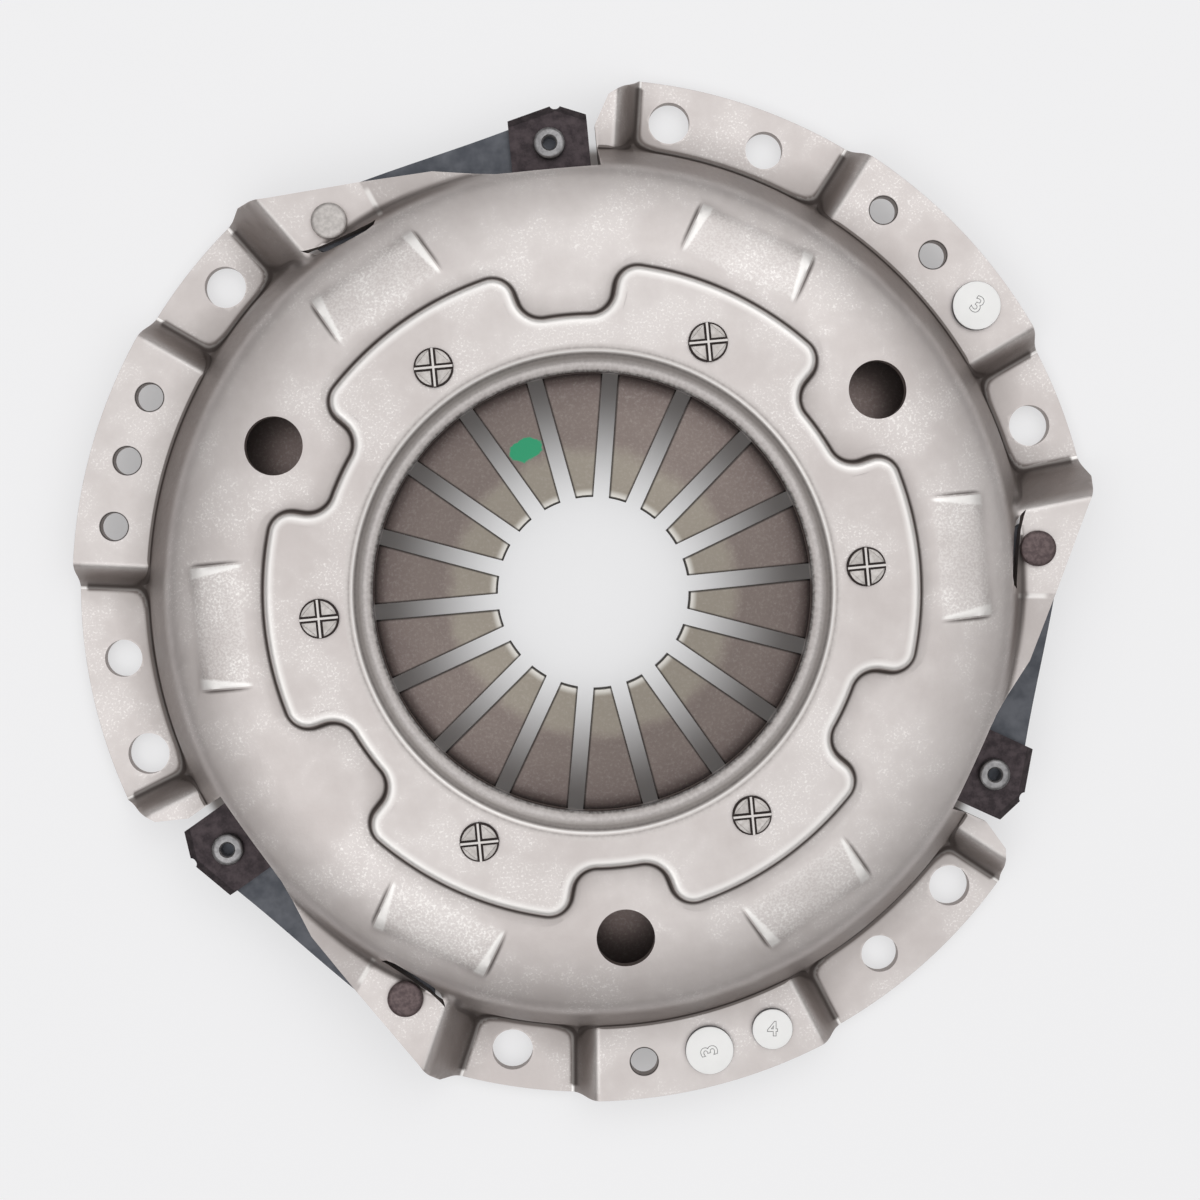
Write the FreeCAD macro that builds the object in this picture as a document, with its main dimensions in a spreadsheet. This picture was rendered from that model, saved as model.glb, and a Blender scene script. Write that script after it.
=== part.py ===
import FreeCAD, Part
import os
import Sketcher

# Clutch pressure plate: a pressed cover that carries a diaphragm spring and a cast plate.
# The plane z = 0 is the flywheel face, and the Z axis is the crankshaft's axis.

SIZES = {
    # The levels of the pressed cover above the flywheel face
    "steel": 3.0,
    "seat_level": 3.0,
    "land_level": 11.0,
    "boss_level": 19.0,
    "dish_level": 29.5,
    "platform_level": 33.0,
    "lip_level": 31.0,
    "fold_slope": 67.0,
    # The diaphragm spring, which sets how wide everything round it is
    "spring_radius": 79.5,
    "spring_leaf": 2.2,
    "spring_cone": 15.6,
    "finger_tip": 19.3,
    "finger_flat": 10.7,
    "finger_cone": 10.4,
    "finger_count": 18,
    "slot_width": 3.2,
    "slot_eye": 3.9,
    # The crowned dish, its wall and the bend at its foot
    "crown_inset": 13.5,
    "crown_bend": 44.0,
    "crown_angle": 26.0,
    "shoulder_bend": 6.5,
    "wall_slope": 65.0,
    "foot_bend": 2.5,
    "foot_under_bend": 2.4,
    # The lobed platform round the opening
    "platform_margin": 0.6,
    "platform_corner": 4.2,
    "platform_inner_corner": 2.5,
    "platform_rim": 1.6,
    "notch_depth": 10.5,
    "notch_half_width": 10.4,
    "opening_step": 10.9,
    "lip_width": 2.1,
    "lip_run": 2.3,
    "dish_hole_step": 5.2,
    "dish_hole_radius": 6.0,
    # The coined pads on the crown
    "pad_step": 4.1,
    "pad_length": 11.5,
    "pad_half_width": 12.4,
    "pad_rise": 0.15,
    # Where the flange changes level, as angles from a strap boss
    "land_start_angle": 24.9,
    "land_end_angle": 52.1,
    "heel_start_angle": 81.2,
    "boss_start_angle": -6.0,
    "boss_end_angle": 5.6,
    "gusset_length": 28.0,
    "gusset_rise": 3.6,
    # The flange's width beyond the straps, and its holes
    "strap_offset": 14.2,
    "bolt_step": 7.8,
    "flange_edge": 8.1,
    "bolt_angle": 15.0,
    "bolt_radius": 4.4,
    "dowel_angle": 63.0,
    "dowel_radius": 4.0,
    "hole_flat": 1.1,
    "balance_first_angle": 31.0,
    "balance_spacing_angle": 8.0,
    "balance_radius": 2.9,
    # The outline beside a boss and across the gap for a lug, measured from the strap's holes
    "boss_edge_wide": 11.8,
    "boss_edge_wide_angle": 4.3,
    "boss_edge_narrow": 3.6,
    "boss_edge_narrow_angle": -5.7,
    "chord_inset": 6.7,
    "gusset_tip_angle": -22.5,
    "heel_gap": 10.0,
    "heel_shoulder": 3.9,
    "heel_corner": 10.1,
    "heel_corner_gap": 13.5,
    "heel_slant_angle": 27.0,
    "lance_inset": 3.9,
    "lance_width": 1.3,
    "lance_near": 9.6,
    "lance_far": 8.0,
    # The drive straps
    "lug_angle": -30.0,
    "strap_half_width": 6.0,
    "strap_leaf": 0.8,
    "strap_drop": 2.7,
    "strap_flat": 11.0,
    # The rivets of the straps
    "strap_shank": 2.5,
    "cover_rivet_head": 3.75,
    "lug_rivet_head": 3.35,
    "lug_rivet_bore": 1.4,
    "strap_head_height": 1.8,
    "strap_head_edge": 0.9,
    "strap_foot": 4.2,
    "strap_foot_height": 1.6,
    # The balance rivets
    "balance_head_large": 5.15,
    "balance_head_small": 4.35,
    "balance_head_height": 1.4,
    "balance_edge": 0.3,
    "balance_foot": 1.0,
    "balance_foot_height": 0.6,
    # The fulcrum rings and the rivets that hold them
    "ring_inset": 5.8,
    "ring_wire": 1.75,
    "pivot_step": 4.8,
    "pivot_shank": 2.9,
    "pivot_head": 4.0,
    "pivot_head_height": 1.7,
    "pivot_head_edge": 0.85,
    "pivot_foot": 6.4,
    "pivot_foot_height": 2.4,
    "pivot_foot_edge": 0.5,
    # The cast pressure plate
    "friction_level": 3.5,
    "plate_bore_step": 2.8,
    "plate_margin": 8.0,
    "plate_chamfer": 4.2,
    "bead_inset": 2.0,
    "bead_round": 2.0,
    "bead_stand": 0.7,
    "lug_lift": 2.5,
    "lug_end": 6.6,
    "lug_half_width": 8.0,
    "lug_corner": 5.0,
    "lug_root": 6.0,
    "lug_fillet": 3.0,
    # The stamped retainer on each lug, with two edges bent down
    "retainer_sheet": 1.6,
    "retainer_half_width": 8.25,
    "retainer_tail": 6.0,
    "retainer_shoulder": 5.7,
    "retainer_peak": 8.3,
    "retainer_shift": 1.9,
    "retainer_lip": 1.6,
    "retainer_bend_angle": 38.0,
    "retainer_relief": 1.1,
    # Clearances
    "hole_play": 0.05,
    "contact_play": 0.02,
}

SECTORS = 3
PIVOTS = 6
BASE = "-1"

# Places that follow from the spring outwards and inwards.
BOLT_CIRCLE = "(spring_radius + strap_offset + bolt_step)"
COVER_RADIUS = "(spring_radius + strap_offset + bolt_step + flange_edge)"
REACH = "(spring_radius + strap_offset + bolt_step + 2 * flange_edge)"
STRAP_CIRCLE = "(spring_radius + strap_offset)"
CROWN_START = "(spring_radius - crown_inset)"
PLATFORM_RADIUS = "(spring_radius - crown_inset + platform_margin)"
NOTCH_FLOOR = "(spring_radius - crown_inset + platform_margin - notch_depth)"
RING_CIRCLE = "(spring_radius - crown_inset - ring_inset)"
PIVOT_CIRCLE = "(spring_radius - crown_inset - ring_inset - pivot_step)"
BEAD_CIRCLE = "(spring_radius - bead_inset)"
OPENING_RADIUS = "(spring_radius - crown_inset - ring_inset - pivot_step - opening_step)"
PLATE_INNER = "(spring_radius - crown_inset - ring_inset + plate_bore_step)"
PLATE_OUTER = "(spring_radius + plate_margin)"

# The crown's arc ends where the shoulder's arc begins, and the wall leaves the shoulder straight.
CROWN_R = "(" + CROWN_START + " + crown_bend * sin(crown_angle))"
CROWN_Z = "(dish_level - crown_bend * (1 - cos(crown_angle)))"

# The strap leaves the boss's underside level and ends lower, on the lug.
BOSS_UNDER = "(boss_level - steel)"
STRAP_END = "(boss_level - steel - strap_drop)"
LUG_TOP = "(boss_level - steel - strap_drop - 2 * strap_leaf)"
LUG_FLOOR = "(friction_level + lug_lift)"
RETAINER_TOP = "(boss_level - steel - strap_drop + retainer_sheet)"
STRAP_LENGTH = "(2 * " + STRAP_CIRCLE + " * sin(-lug_angle / 2))"
STRAP_LINE = "(" + STRAP_CIRCLE + " * cos(lug_angle / 2))"

# The spring's middle plane at the fulcrum lies between the two wire rings, and the bead bears on it.
WIRE_TO_SPRING = "((ring_wire + spring_leaf / 2 + contact_play) / cos(spring_cone))"
UPPER_RING_Z = "(dish_level - steel - ring_wire)"
SPRING_Z = "(" + UPPER_RING_Z + " - " + WIRE_TO_SPRING + ")"
LOWER_RING_Z = "(" + SPRING_Z + " - " + WIRE_TO_SPRING + ")"
RIVET_FOOT_Z = "(" + LOWER_RING_Z + " - ring_wire)"
SPRING_AT_BEAD = "(" + SPRING_Z + " - (" + BEAD_CIRCLE + " - " + RING_CIRCLE + ") * tan(spring_cone))"
BEAD_Z = "(" + SPRING_AT_BEAD + " - (spring_leaf / 2 + bead_round + contact_play) / cos(spring_cone))"
PLATE_TOP = "(" + BEAD_Z + " - bead_stand)"

doc = FreeCAD.newDocument("clutch_pressure_plate")
sizes = doc.addObject("Spreadsheet::Sheet", "Sizes")
for row, word in enumerate(SIZES, start=1):
    sizes.set("A%d" % row, word)
    sizes.set("B%d" % row, str(SIZES[word]))
    sizes.setAlias("B%d" % row, word)
doc.recompute()

parts = []


def bound(text):
    """Write a formula of size names as an expression of the document."""
    written = ""
    word = ""
    for letter in text + " ":
        if letter.isalnum() or letter == "_":
            word += letter
        else:
            written += ("Sizes." + word if word in SIZES else word) + letter
            word = ""
    return written.strip()


def size(text):
    """Give the present value of a formula of size names."""
    value = sizes.evalExpression(bound(text))
    return float(getattr(value, "Value", value))


def feature(kind, name, formulas):
    """Add a feature whose properties follow the sheet."""
    added = doc.addObject(kind, name)
    for key, text in formulas.items():
        added.setExpression(key, bound(text))
    return added


def place(piece, x="0", y="0", z="0", turn="0"):
    """Put a piece at a point, turned about the vertical."""
    piece.setExpression("Placement.Base.x", bound(x))
    piece.setExpression("Placement.Base.y", bound(y))
    piece.setExpression("Placement.Base.z", bound(z))
    piece.setExpression("Placement.Rotation.Angle", bound(turn))
    return piece


def put_round(piece, radius, angle, z="0", turn="0"):
    """Put a piece on a circle about the axis, turned with its place."""
    x = "(%s) * cos(%s)" % (radius, angle)
    y = "(%s) * sin(%s)" % (radius, angle)
    return place(piece, x, y, z, "%s + %s" % (angle, turn))


def draw(sketch, corners):
    """Close an outline through corners. A corner marked bow lies on the arc between its neighbours."""
    points = [FreeCAD.Vector(size(corner[0]), size(corner[1]), 0) for corner in corners]
    ends = [index for index, corner in enumerate(corners) if len(corner) == 2]
    first_of = []
    last_of = []
    for turn, start in enumerate(ends):
        end = ends[(turn + 1) % len(ends)]
        bow = (start + 1) % len(corners)
        if bow == end:
            edge = sketch.addGeometry(Part.LineSegment(points[start], points[end]), False)
            first_of.append((edge, 1))
            last_of.append((edge, 2))
            continue
        side = (points[bow] - points[start]).cross(points[end] - points[start]).z
        order = (start, bow, end) if side > 0 else (end, bow, start)
        edge = sketch.addGeometry(Part.Arc(*[points[index] for index in order]), False)
        first_of.append((edge, 1 if side > 0 else 2))
        last_of.append((edge, 2 if side > 0 else 1))
        mark = sketch.addGeometry(Part.Point(points[bow]), True)
        hold(sketch, (mark, 1), corners[bow])
        sketch.addConstraint(Sketcher.Constraint("PointOnObject", mark, 1, edge))
    for turn, start in enumerate(ends):
        sketch.addConstraint(Sketcher.Constraint("Coincident", *last_of[turn - 1], *first_of[turn]))
        hold(sketch, first_of[turn], corners[start])


def hold(sketch, point, corner):
    """Tie a sketch point's two distances from the origin to the sheet."""
    for kind, text in zip(("DistanceX", "DistanceY"), corner):
        index = sketch.addConstraint(Sketcher.Constraint(kind, -1, 1, *point, size(text)))
        sketch.setExpression("Constraints[%d]" % index, bound(text))


def origin_plane(body, role):
    return [plane for plane in body.Origin.OriginFeatures if plane.Role == role][0]


def turned_body(name, corners):
    """A piece turned about its own axis from half of its section."""
    body = doc.addObject("PartDesign::Body", name)
    sketch = body.newObject("Sketcher::SketchObject", name + "_section")
    sketch.AttachmentSupport = [(origin_plane(body, "XZ_Plane"), "")]
    sketch.MapMode = "FlatFace"
    draw(sketch, corners)
    turning = body.newObject("PartDesign::Revolution", name + "_turning")
    turning.Profile = sketch
    turning.ReferenceAxis = (sketch, ["V_Axis"])
    turning.Angle = 360
    body.Tip = turning
    return body


def padded_body(name, corners, bottom, height):
    """A piece cut from flat sheet: an outline, and how thick it is above its bottom."""
    body = doc.addObject("PartDesign::Body", name)
    sketch = body.newObject("Sketcher::SketchObject", name + "_outline")
    sketch.AttachmentSupport = [(origin_plane(body, "XY_Plane"), "")]
    sketch.MapMode = "FlatFace"
    sketch.setExpression("AttachmentOffset.Base.z", bound(bottom))
    draw(sketch, corners)
    pad = body.newObject("PartDesign::Pad", name + "_thickness")
    pad.Profile = sketch
    pad.setExpression("Length", bound(height))
    body.Tip = pad
    return body


def round_hole(body, name, radius, reach, x="0", y="0"):
    """Bore a body vertically, both ways from its own XY plane."""
    sketch = body.newObject("Sketcher::SketchObject", name + "_circle")
    sketch.AttachmentSupport = [(origin_plane(body, "XY_Plane"), "")]
    sketch.MapMode = "FlatFace"
    centre = FreeCAD.Vector(size(x), size(y), 0)
    circle = sketch.addGeometry(Part.Circle(centre, FreeCAD.Vector(0, 0, 1), size(radius)), False)
    hold(sketch, (circle, 3), (x, y))
    index = sketch.addConstraint(Sketcher.Constraint("Radius", circle, size(radius)))
    sketch.setExpression("Constraints[%d]" % index, bound(radius))
    pocket = body.newObject("PartDesign::Pocket", name)
    pocket.Profile = sketch
    pocket.setExpression("Length", bound(reach))
    pocket.Midplane = True
    body.Tip = pocket
    return pocket


def fuse(name, shapes):
    joined = doc.addObject("Part::MultiFuse", name)
    joined.Shapes = shapes
    return joined


def cut(name, base, tool):
    result = doc.addObject("Part::Cut", name)
    result.Base = base
    result.Tool = tool
    return result


def keep(piece, name):
    """List a finished piece under the name of its node."""
    piece.Label = name
    parts.append((name, piece))
    return piece


def round_edges(name, base, radius, wanted):
    """Round the edges of a feature that answer a test."""
    doc.recompute()
    picked = [index for index, edge in enumerate(base.Shape.Edges, start=1) if wanted(edge)]
    rounded = doc.addObject("Part::Fillet", name)
    rounded.Base = base
    rounded.Edges = [(index, size(radius), size(radius)) for index in picked]
    return rounded


def is_upright(edge):
    box = edge.BoundBox
    return box.ZLength > 1 and box.XLength < 0.001 and box.YLength < 0.001


# Cover: the form of the press tool's upper face, less the same form one sheet thickness further in.

def dish(side, depth, foot):
    """The revolved dish: level middle, crowned shoulder, straight wall, bend at its foot and flange."""
    crown = "(crown_bend - %s)" % depth
    shoulder = "(shoulder_bend - %s)" % depth
    middle = "(crown_angle / 2)"
    corner = "((crown_angle + wall_slope) / 2)"
    crown_z = "(dish_level - crown_bend)"
    turn_r = "(%s - shoulder_bend * sin(crown_angle))" % CROWN_R
    turn_z = "(%s - shoulder_bend * cos(crown_angle))" % CROWN_Z
    wall_r = "(%s + %s * sin(wall_slope))" % (turn_r, shoulder)
    wall_z = "(%s + %s * cos(wall_slope))" % (turn_z, shoulder)
    bends = "(shoulder_bend + foot_bend)"
    fall = "(%s + %s * cos(wall_slope) - seat_level - foot_bend)" % (turn_z, bends)
    foot_r = "(%s + %s * sin(wall_slope) + %s / tan(wall_slope))" % (turn_r, bends, fall)
    half = "tan(wall_slope / 2)"
    foot_r = "(%s - (foot_bend + %s) * %s + %s * %s)" % (foot_r, depth, half, foot, half)
    foot_z = "(seat_level - %s + %s)" % (depth, foot)
    corners = [
        ("0", BASE),
        ("0", "dish_level - %s" % depth),
        (CROWN_START, "dish_level - %s" % depth),
        ("%s + %s * sin%s" % (CROWN_START, crown, middle), "%s + %s * cos%s" % (crown_z, crown, middle), "bow"),
        ("%s + %s * sin(crown_angle)" % (CROWN_START, crown), "%s + %s * cos(crown_angle)" % (crown_z, crown)),
        ("%s + %s * sin%s" % (turn_r, shoulder, corner), "%s + %s * cos%s" % (turn_z, shoulder, corner), "bow"),
        (wall_r, wall_z),
        ("%s - %s * sin(wall_slope)" % (foot_r, foot), "%s - %s * cos(wall_slope)" % (foot_z, foot)),
        ("%s - %s * sin(wall_slope / 2)" % (foot_r, foot), "%s - %s * cos(wall_slope / 2)" % (foot_z, foot), "bow"),
        (foot_r, "seat_level - %s" % depth),
        (REACH, "seat_level - %s" % depth),
        (REACH, BASE),
    ]
    section = doc.addObject("Sketcher::SketchObject", "dish_section_" + side)
    section.Placement = FreeCAD.Placement(FreeCAD.Vector(), FreeCAD.Rotation(FreeCAD.Vector(1, 0, 0), 90))
    draw(section, corners)
    solid = doc.addObject("Part::Revolution", "dish_" + side)
    solid.Source = section
    solid.Axis = FreeCAD.Vector(0, 0, 1)
    solid.Angle = 360
    solid.Solid = True
    return solid


def platform(side, depth, corner):
    """The raised lobes: a disc with six notches, its corners rounded."""
    disc = feature("Part::Cylinder", "platform_disc_" + side, {
        "Radius": "%s - %s" % (PLATFORM_RADIUS, depth),
        "Height": "platform_level - %s" % depth,
    })
    notches = []
    for index in range(PIVOTS):
        notch = feature("Part::Box", "platform_notch_%s_%d" % (side, index), {
            "Length": PLATFORM_RADIUS,
            "Width": "2 * (notch_half_width + %s)" % depth,
            "Height": "2 * platform_level",
        })
        angle = "(%d * 360 / %d + 180 / %d)" % (index, PIVOTS, PIVOTS)
        near = "(%s - %s)" % (NOTCH_FLOOR, depth)
        across = "(notch_half_width + %s)" % depth
        x = "%s * cos%s + %s * sin%s" % (near, angle, across, angle)
        y = "%s * sin%s - %s * cos%s" % (near, angle, across, angle)
        notches.append(place(notch, x, y, "0", angle))
    lobes = cut("platform_lobes_" + side, disc, fuse("platform_notches_" + side, notches))
    return round_edges("platform_" + side, lobes, corner, is_upright)


def slice_of_flange(name, depth, start, end, level):
    """A level stretch of the flange, as a slice from the axis outwards."""
    piece = feature("Part::Cylinder", name, {
        "Radius": REACH,
        "Height": "%s - %s - (%s)" % (level, depth, BASE),
        "Angle": "(%s) - (%s)" % (end, start),
    })
    return place(piece, "0", "0", BASE, start)


def ramp(name, depth, angle, level, low, length, falls):
    """A sloped stretch of the flange that starts at an angle and falls or rises from its level."""
    high_z = "%s - %s" % (level, depth)
    low_z = "%s - %s" % (low, depth)
    ahead = falls == "ahead"
    piece = feature("Part::Wedge", name, {
        "Xmin": CROWN_START,
        "X2min": CROWN_START,
        "Xmax": REACH,
        "X2max": REACH,
        "Ymin": "0" if ahead else "-(%s)" % length,
        "Ymax": length if ahead else "0",
        "Zmin": BASE,
        "Z2min": BASE,
        "Zmax": high_z if ahead else low_z,
        "Z2max": low_z if ahead else high_z,
    })
    return place(piece, turn=angle)


def flange_sector(side, depth, sector):
    """The land, the heel, the boss and its gusset in one third of the flange."""
    tag = "_%s_%d" % (side, sector)
    turn = "%d * 360 / %d" % (sector, SECTORS)
    fold = "(%s * tan(fold_slope / 2) / %s * 180 / pi)" % (depth, BOLT_CIRCLE)
    land_run = "((land_level - seat_level) / tan(fold_slope))"
    boss_run = "((boss_level - seat_level) / tan(fold_slope))"
    land_from = "%s + land_start_angle + %s" % (turn, fold)
    land_to = "%s + land_end_angle - %s" % (turn, fold)
    heel_from = "%s + heel_start_angle + %s" % (turn, fold)
    heel_to = "%s + lug_angle + 360 / %d" % (turn, SECTORS)
    boss_from = "%s + boss_start_angle" % turn
    boss_to = "%s + boss_end_angle - %s" % (turn, fold)
    top = "boss_level + gusset_rise"
    return [
        slice_of_flange("land" + tag, depth, land_from, land_to, "land_level"),
        ramp("land_start" + tag, depth, land_from, "land_level", "seat_level", land_run, "behind"),
        ramp("land_end" + tag, depth, land_to, "land_level", "seat_level", land_run, "ahead"),
        slice_of_flange("heel" + tag, depth, heel_from, heel_to, "land_level"),
        ramp("heel_start" + tag, depth, heel_from, "land_level", "seat_level", land_run, "behind"),
        slice_of_flange("boss" + tag, depth, boss_from, boss_to, "boss_level"),
        ramp("boss_end" + tag, depth, boss_to, "boss_level", "seat_level", boss_run, "ahead"),
        ramp("gusset" + tag, depth, boss_from, "boss_level", top, "gusset_length", "behind"),
    ]


def well(side, depth):
    """The step down from the platform's inner edge to the lip of the opening."""
    return place(feature("Part::Cone", "well_" + side, {
        "Radius1": "%s + lip_width + %s" % (OPENING_RADIUS, depth),
        "Radius2": "%s + lip_width + lip_run + %s" % (OPENING_RADIUS, depth),
        "Height": "platform_level - lip_level",
    }), z="lip_level - %s" % depth)


def coined_pad(index):
    """A flat on the crown: the crown's own arc run straight across instead of round."""
    crown = "(crown_bend + pad_rise)"
    inner = "pad_step"
    middle = "(pad_step + pad_length / 2)"
    outer = "(pad_step + pad_length)"
    arc_z = "dish_level - crown_bend + sqrt(%s ^ 2 - %s ^ 2)"
    section = doc.addObject("Sketcher::SketchObject", "pad_section_%d" % index)
    section.Placement = FreeCAD.Placement(FreeCAD.Vector(), FreeCAD.Rotation(FreeCAD.Vector(1, 0, 0), 90))
    draw(section, [
        ("%s + %s" % (CROWN_START, inner), "land_level"),
        ("%s + %s" % (CROWN_START, inner), arc_z % (crown, inner)),
        ("%s + %s" % (CROWN_START, middle), arc_z % (crown, middle), "bow"),
        ("%s + %s" % (CROWN_START, outer), arc_z % (crown, outer)),
        ("%s + %s" % (CROWN_START, outer), "land_level"),
    ])
    pad = feature("Part::Extrusion", "pad_%d" % index, {
        "LengthFwd": "pad_half_width",
        "LengthRev": "pad_half_width",
    })
    pad.Base = section
    pad.DirMode = "Custom"
    pad.Dir = FreeCAD.Vector(0, 1, 0)
    pad.Solid = True
    return place(pad, turn="%d * 360 / %d" % (index, PIVOTS))


def drill(name, circle, angle, radius):
    """A vertical cutter through the sheet at a place on a circle."""
    piece = feature("Part::Cylinder", name, {"Radius": radius, "Height": "2 * platform_level"})
    return put_round(piece, circle, angle, BASE)


def seat_flat(name, angle, radius):
    """The flat that is struck round a hole in a seat, where the wall's foot would reach it."""
    piece = feature("Part::Cylinder", name, {
        "Radius": "%s + hole_flat" % radius,
        "Height": "land_level - seat_level",
    })
    return put_round(piece, BOLT_CIRCLE, angle, "seat_level")


def beside_lug(radial, sideways):
    """A point from its distance along a lug's radius and its distance across it."""
    x = "%s * cos(lug_angle) - (%s) * sin(lug_angle)" % (radial, sideways)
    y = "%s * sin(lug_angle) + (%s) * cos(lug_angle)" % (radial, sideways)
    return (x, y)


def lug_gap(sector):
    """What the outline leaves out beside a boss and across the gap for a lug."""
    wide = "(%s + boss_edge_wide)" % STRAP_CIRCLE
    narrow = "(%s + boss_edge_narrow)" % STRAP_CIRCLE
    wide_x = "%s * cos(boss_edge_wide_angle)" % wide
    wide_y = "%s * sin(boss_edge_wide_angle)" % wide
    narrow_x = "%s * cos(boss_edge_narrow_angle)" % narrow
    narrow_y = "%s * sin(boss_edge_narrow_angle)" % narrow
    chord = "(%s - chord_inset)" % STRAP_CIRCLE
    tip = "(%s / cos(gusset_tip_angle - lug_angle))" % chord
    corner = "(%s + heel_corner)" % STRAP_CIRCLE
    away = "4 * flange_edge"
    section = doc.addObject("Sketcher::SketchObject", "lug_gap_outline_%d" % sector)
    draw(section, [
        ("2 * %s - %s" % (wide_x, narrow_x), "2 * %s - %s" % (wide_y, narrow_y)),
        (narrow_x, narrow_y),
        ("%s * cos(gusset_tip_angle)" % tip, "%s * sin(gusset_tip_angle)" % tip),
        beside_lug(chord, "-heel_gap"),
        beside_lug("(%s + heel_shoulder)" % STRAP_CIRCLE, "-heel_gap"),
        beside_lug(corner, "-heel_corner_gap"),
        beside_lug("(%s + %s * sin(heel_slant_angle))" % (corner, away),
                   "-heel_corner_gap - %s * cos(heel_slant_angle)" % away),
        ("2 * " + COVER_RADIUS, "0"),
    ])
    gap = feature("Part::Extrusion", "lug_gap_%d" % sector, {
        "LengthFwd": "2 * platform_level",
        "LengthRev": "platform_level",
    })
    gap.Base = section
    gap.DirMode = "Custom"
    gap.Dir = FreeCAD.Vector(0, 0, 1)
    gap.Solid = True
    return place(gap, turn="%d * 360 / %d" % (sector, SECTORS))


def lance(sector):
    """The slit that frees a boss's inner edge from the dish, in line with the strap."""
    slit = feature("Part::Box", "lance_%d" % sector, {
        "Length": "lance_width",
        "Width": "lance_near + lance_far",
        "Height": "dish_level - land_level",
    })
    angle = "(%d * 360 / %d + lug_angle / 2)" % (sector, SECTORS)
    inner = "(%s - lance_inset - lance_width)" % STRAP_LINE
    along = "(%s / 2 - lance_near)" % STRAP_LENGTH
    x = "%s * cos%s - %s * sin%s" % (inner, angle, along, angle)
    y = "%s * sin%s + %s * cos%s" % (inner, angle, along, angle)
    return place(slit, x, y, "land_level", angle)


def make_cover():
    outer = [dish("outer", "0", "foot_bend"), None]
    inner = [dish("inner", "steel", "foot_under_bend"), platform("inner", "steel", "platform_inner_corner")]
    lobes = platform("outer", "0", "platform_corner")
    level = size("platform_level")
    outer[1] = round_edges("platform_rim", lobes, "platform_rim", lambda edge: edge.BoundBox.ZMin > level - 0.01)
    for sector in range(SECTORS):
        outer += flange_sector("outer", "0", sector)
        inner += flange_sector("inner", "steel", sector)
    outer += [coined_pad(index) for index in range(PIVOTS)]
    inner_form = cut("inner_form", fuse("inner_blocks", inner), well("inner", "steel"))
    outer_form = cut("outer_form", fuse("outer_blocks", outer), well("outer", "0"))
    pressed = cut("pressed_sheet", outer_form, inner_form)
    disc = place(feature("Part::Cylinder", "blank", {"Radius": COVER_RADIUS, "Height": "2 * platform_level"}))
    trimmed = doc.addObject("Part::Common", "trimmed_sheet")
    trimmed.Base = pressed
    trimmed.Tool = disc
    tools = [drill("opening", "0", "0", OPENING_RADIUS)]
    for sector in range(SECTORS):
        turn = "(%d * 360 / %d)" % (sector, SECTORS)
        tools.append(lug_gap(sector))
        tools.append(lance(sector))
        tools.append(drill("dowel_hole_%d" % sector, BOLT_CIRCLE, turn + " + dowel_angle", "dowel_radius"))
        tools.append(seat_flat("dowel_flat_%d" % sector, turn + " + dowel_angle", "dowel_radius"))
        tools.append(drill("strap_hole_%d" % sector, STRAP_CIRCLE, turn, "strap_shank + hole_play"))
        middle = "%s + 180 / %d" % (turn, PIVOTS)
        circle = "%s + dish_hole_step" % CROWN_START
        tools.append(drill("dish_hole_%d" % sector, circle, middle, "dish_hole_radius"))
        for step in range(3):
            angle = "%s + balance_first_angle + %d * balance_spacing_angle" % (turn, step)
            tools.append(drill("balance_hole_%d_%d" % (sector, step), BOLT_CIRCLE, angle, "balance_radius"))
    for index in range(PIVOTS):
        turn = "%d * 360 / %d" % (index, PIVOTS)
        tools.append(drill("bolt_hole_%d" % index, BOLT_CIRCLE, turn + " + bolt_angle", "bolt_radius"))
        tools.append(seat_flat("bolt_flat_%d" % index, turn + " + bolt_angle", "bolt_radius"))
        tools.append(drill("pivot_hole_%d" % index, PIVOT_CIRCLE, turn, "pivot_shank + hole_play"))
    keep(cut("cover", trimmed, fuse("cover_tools", tools)), "cover")


make_cover()


# Diaphragm spring: a coned disc, slotted into fingers whose ends bend flatter.

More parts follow.
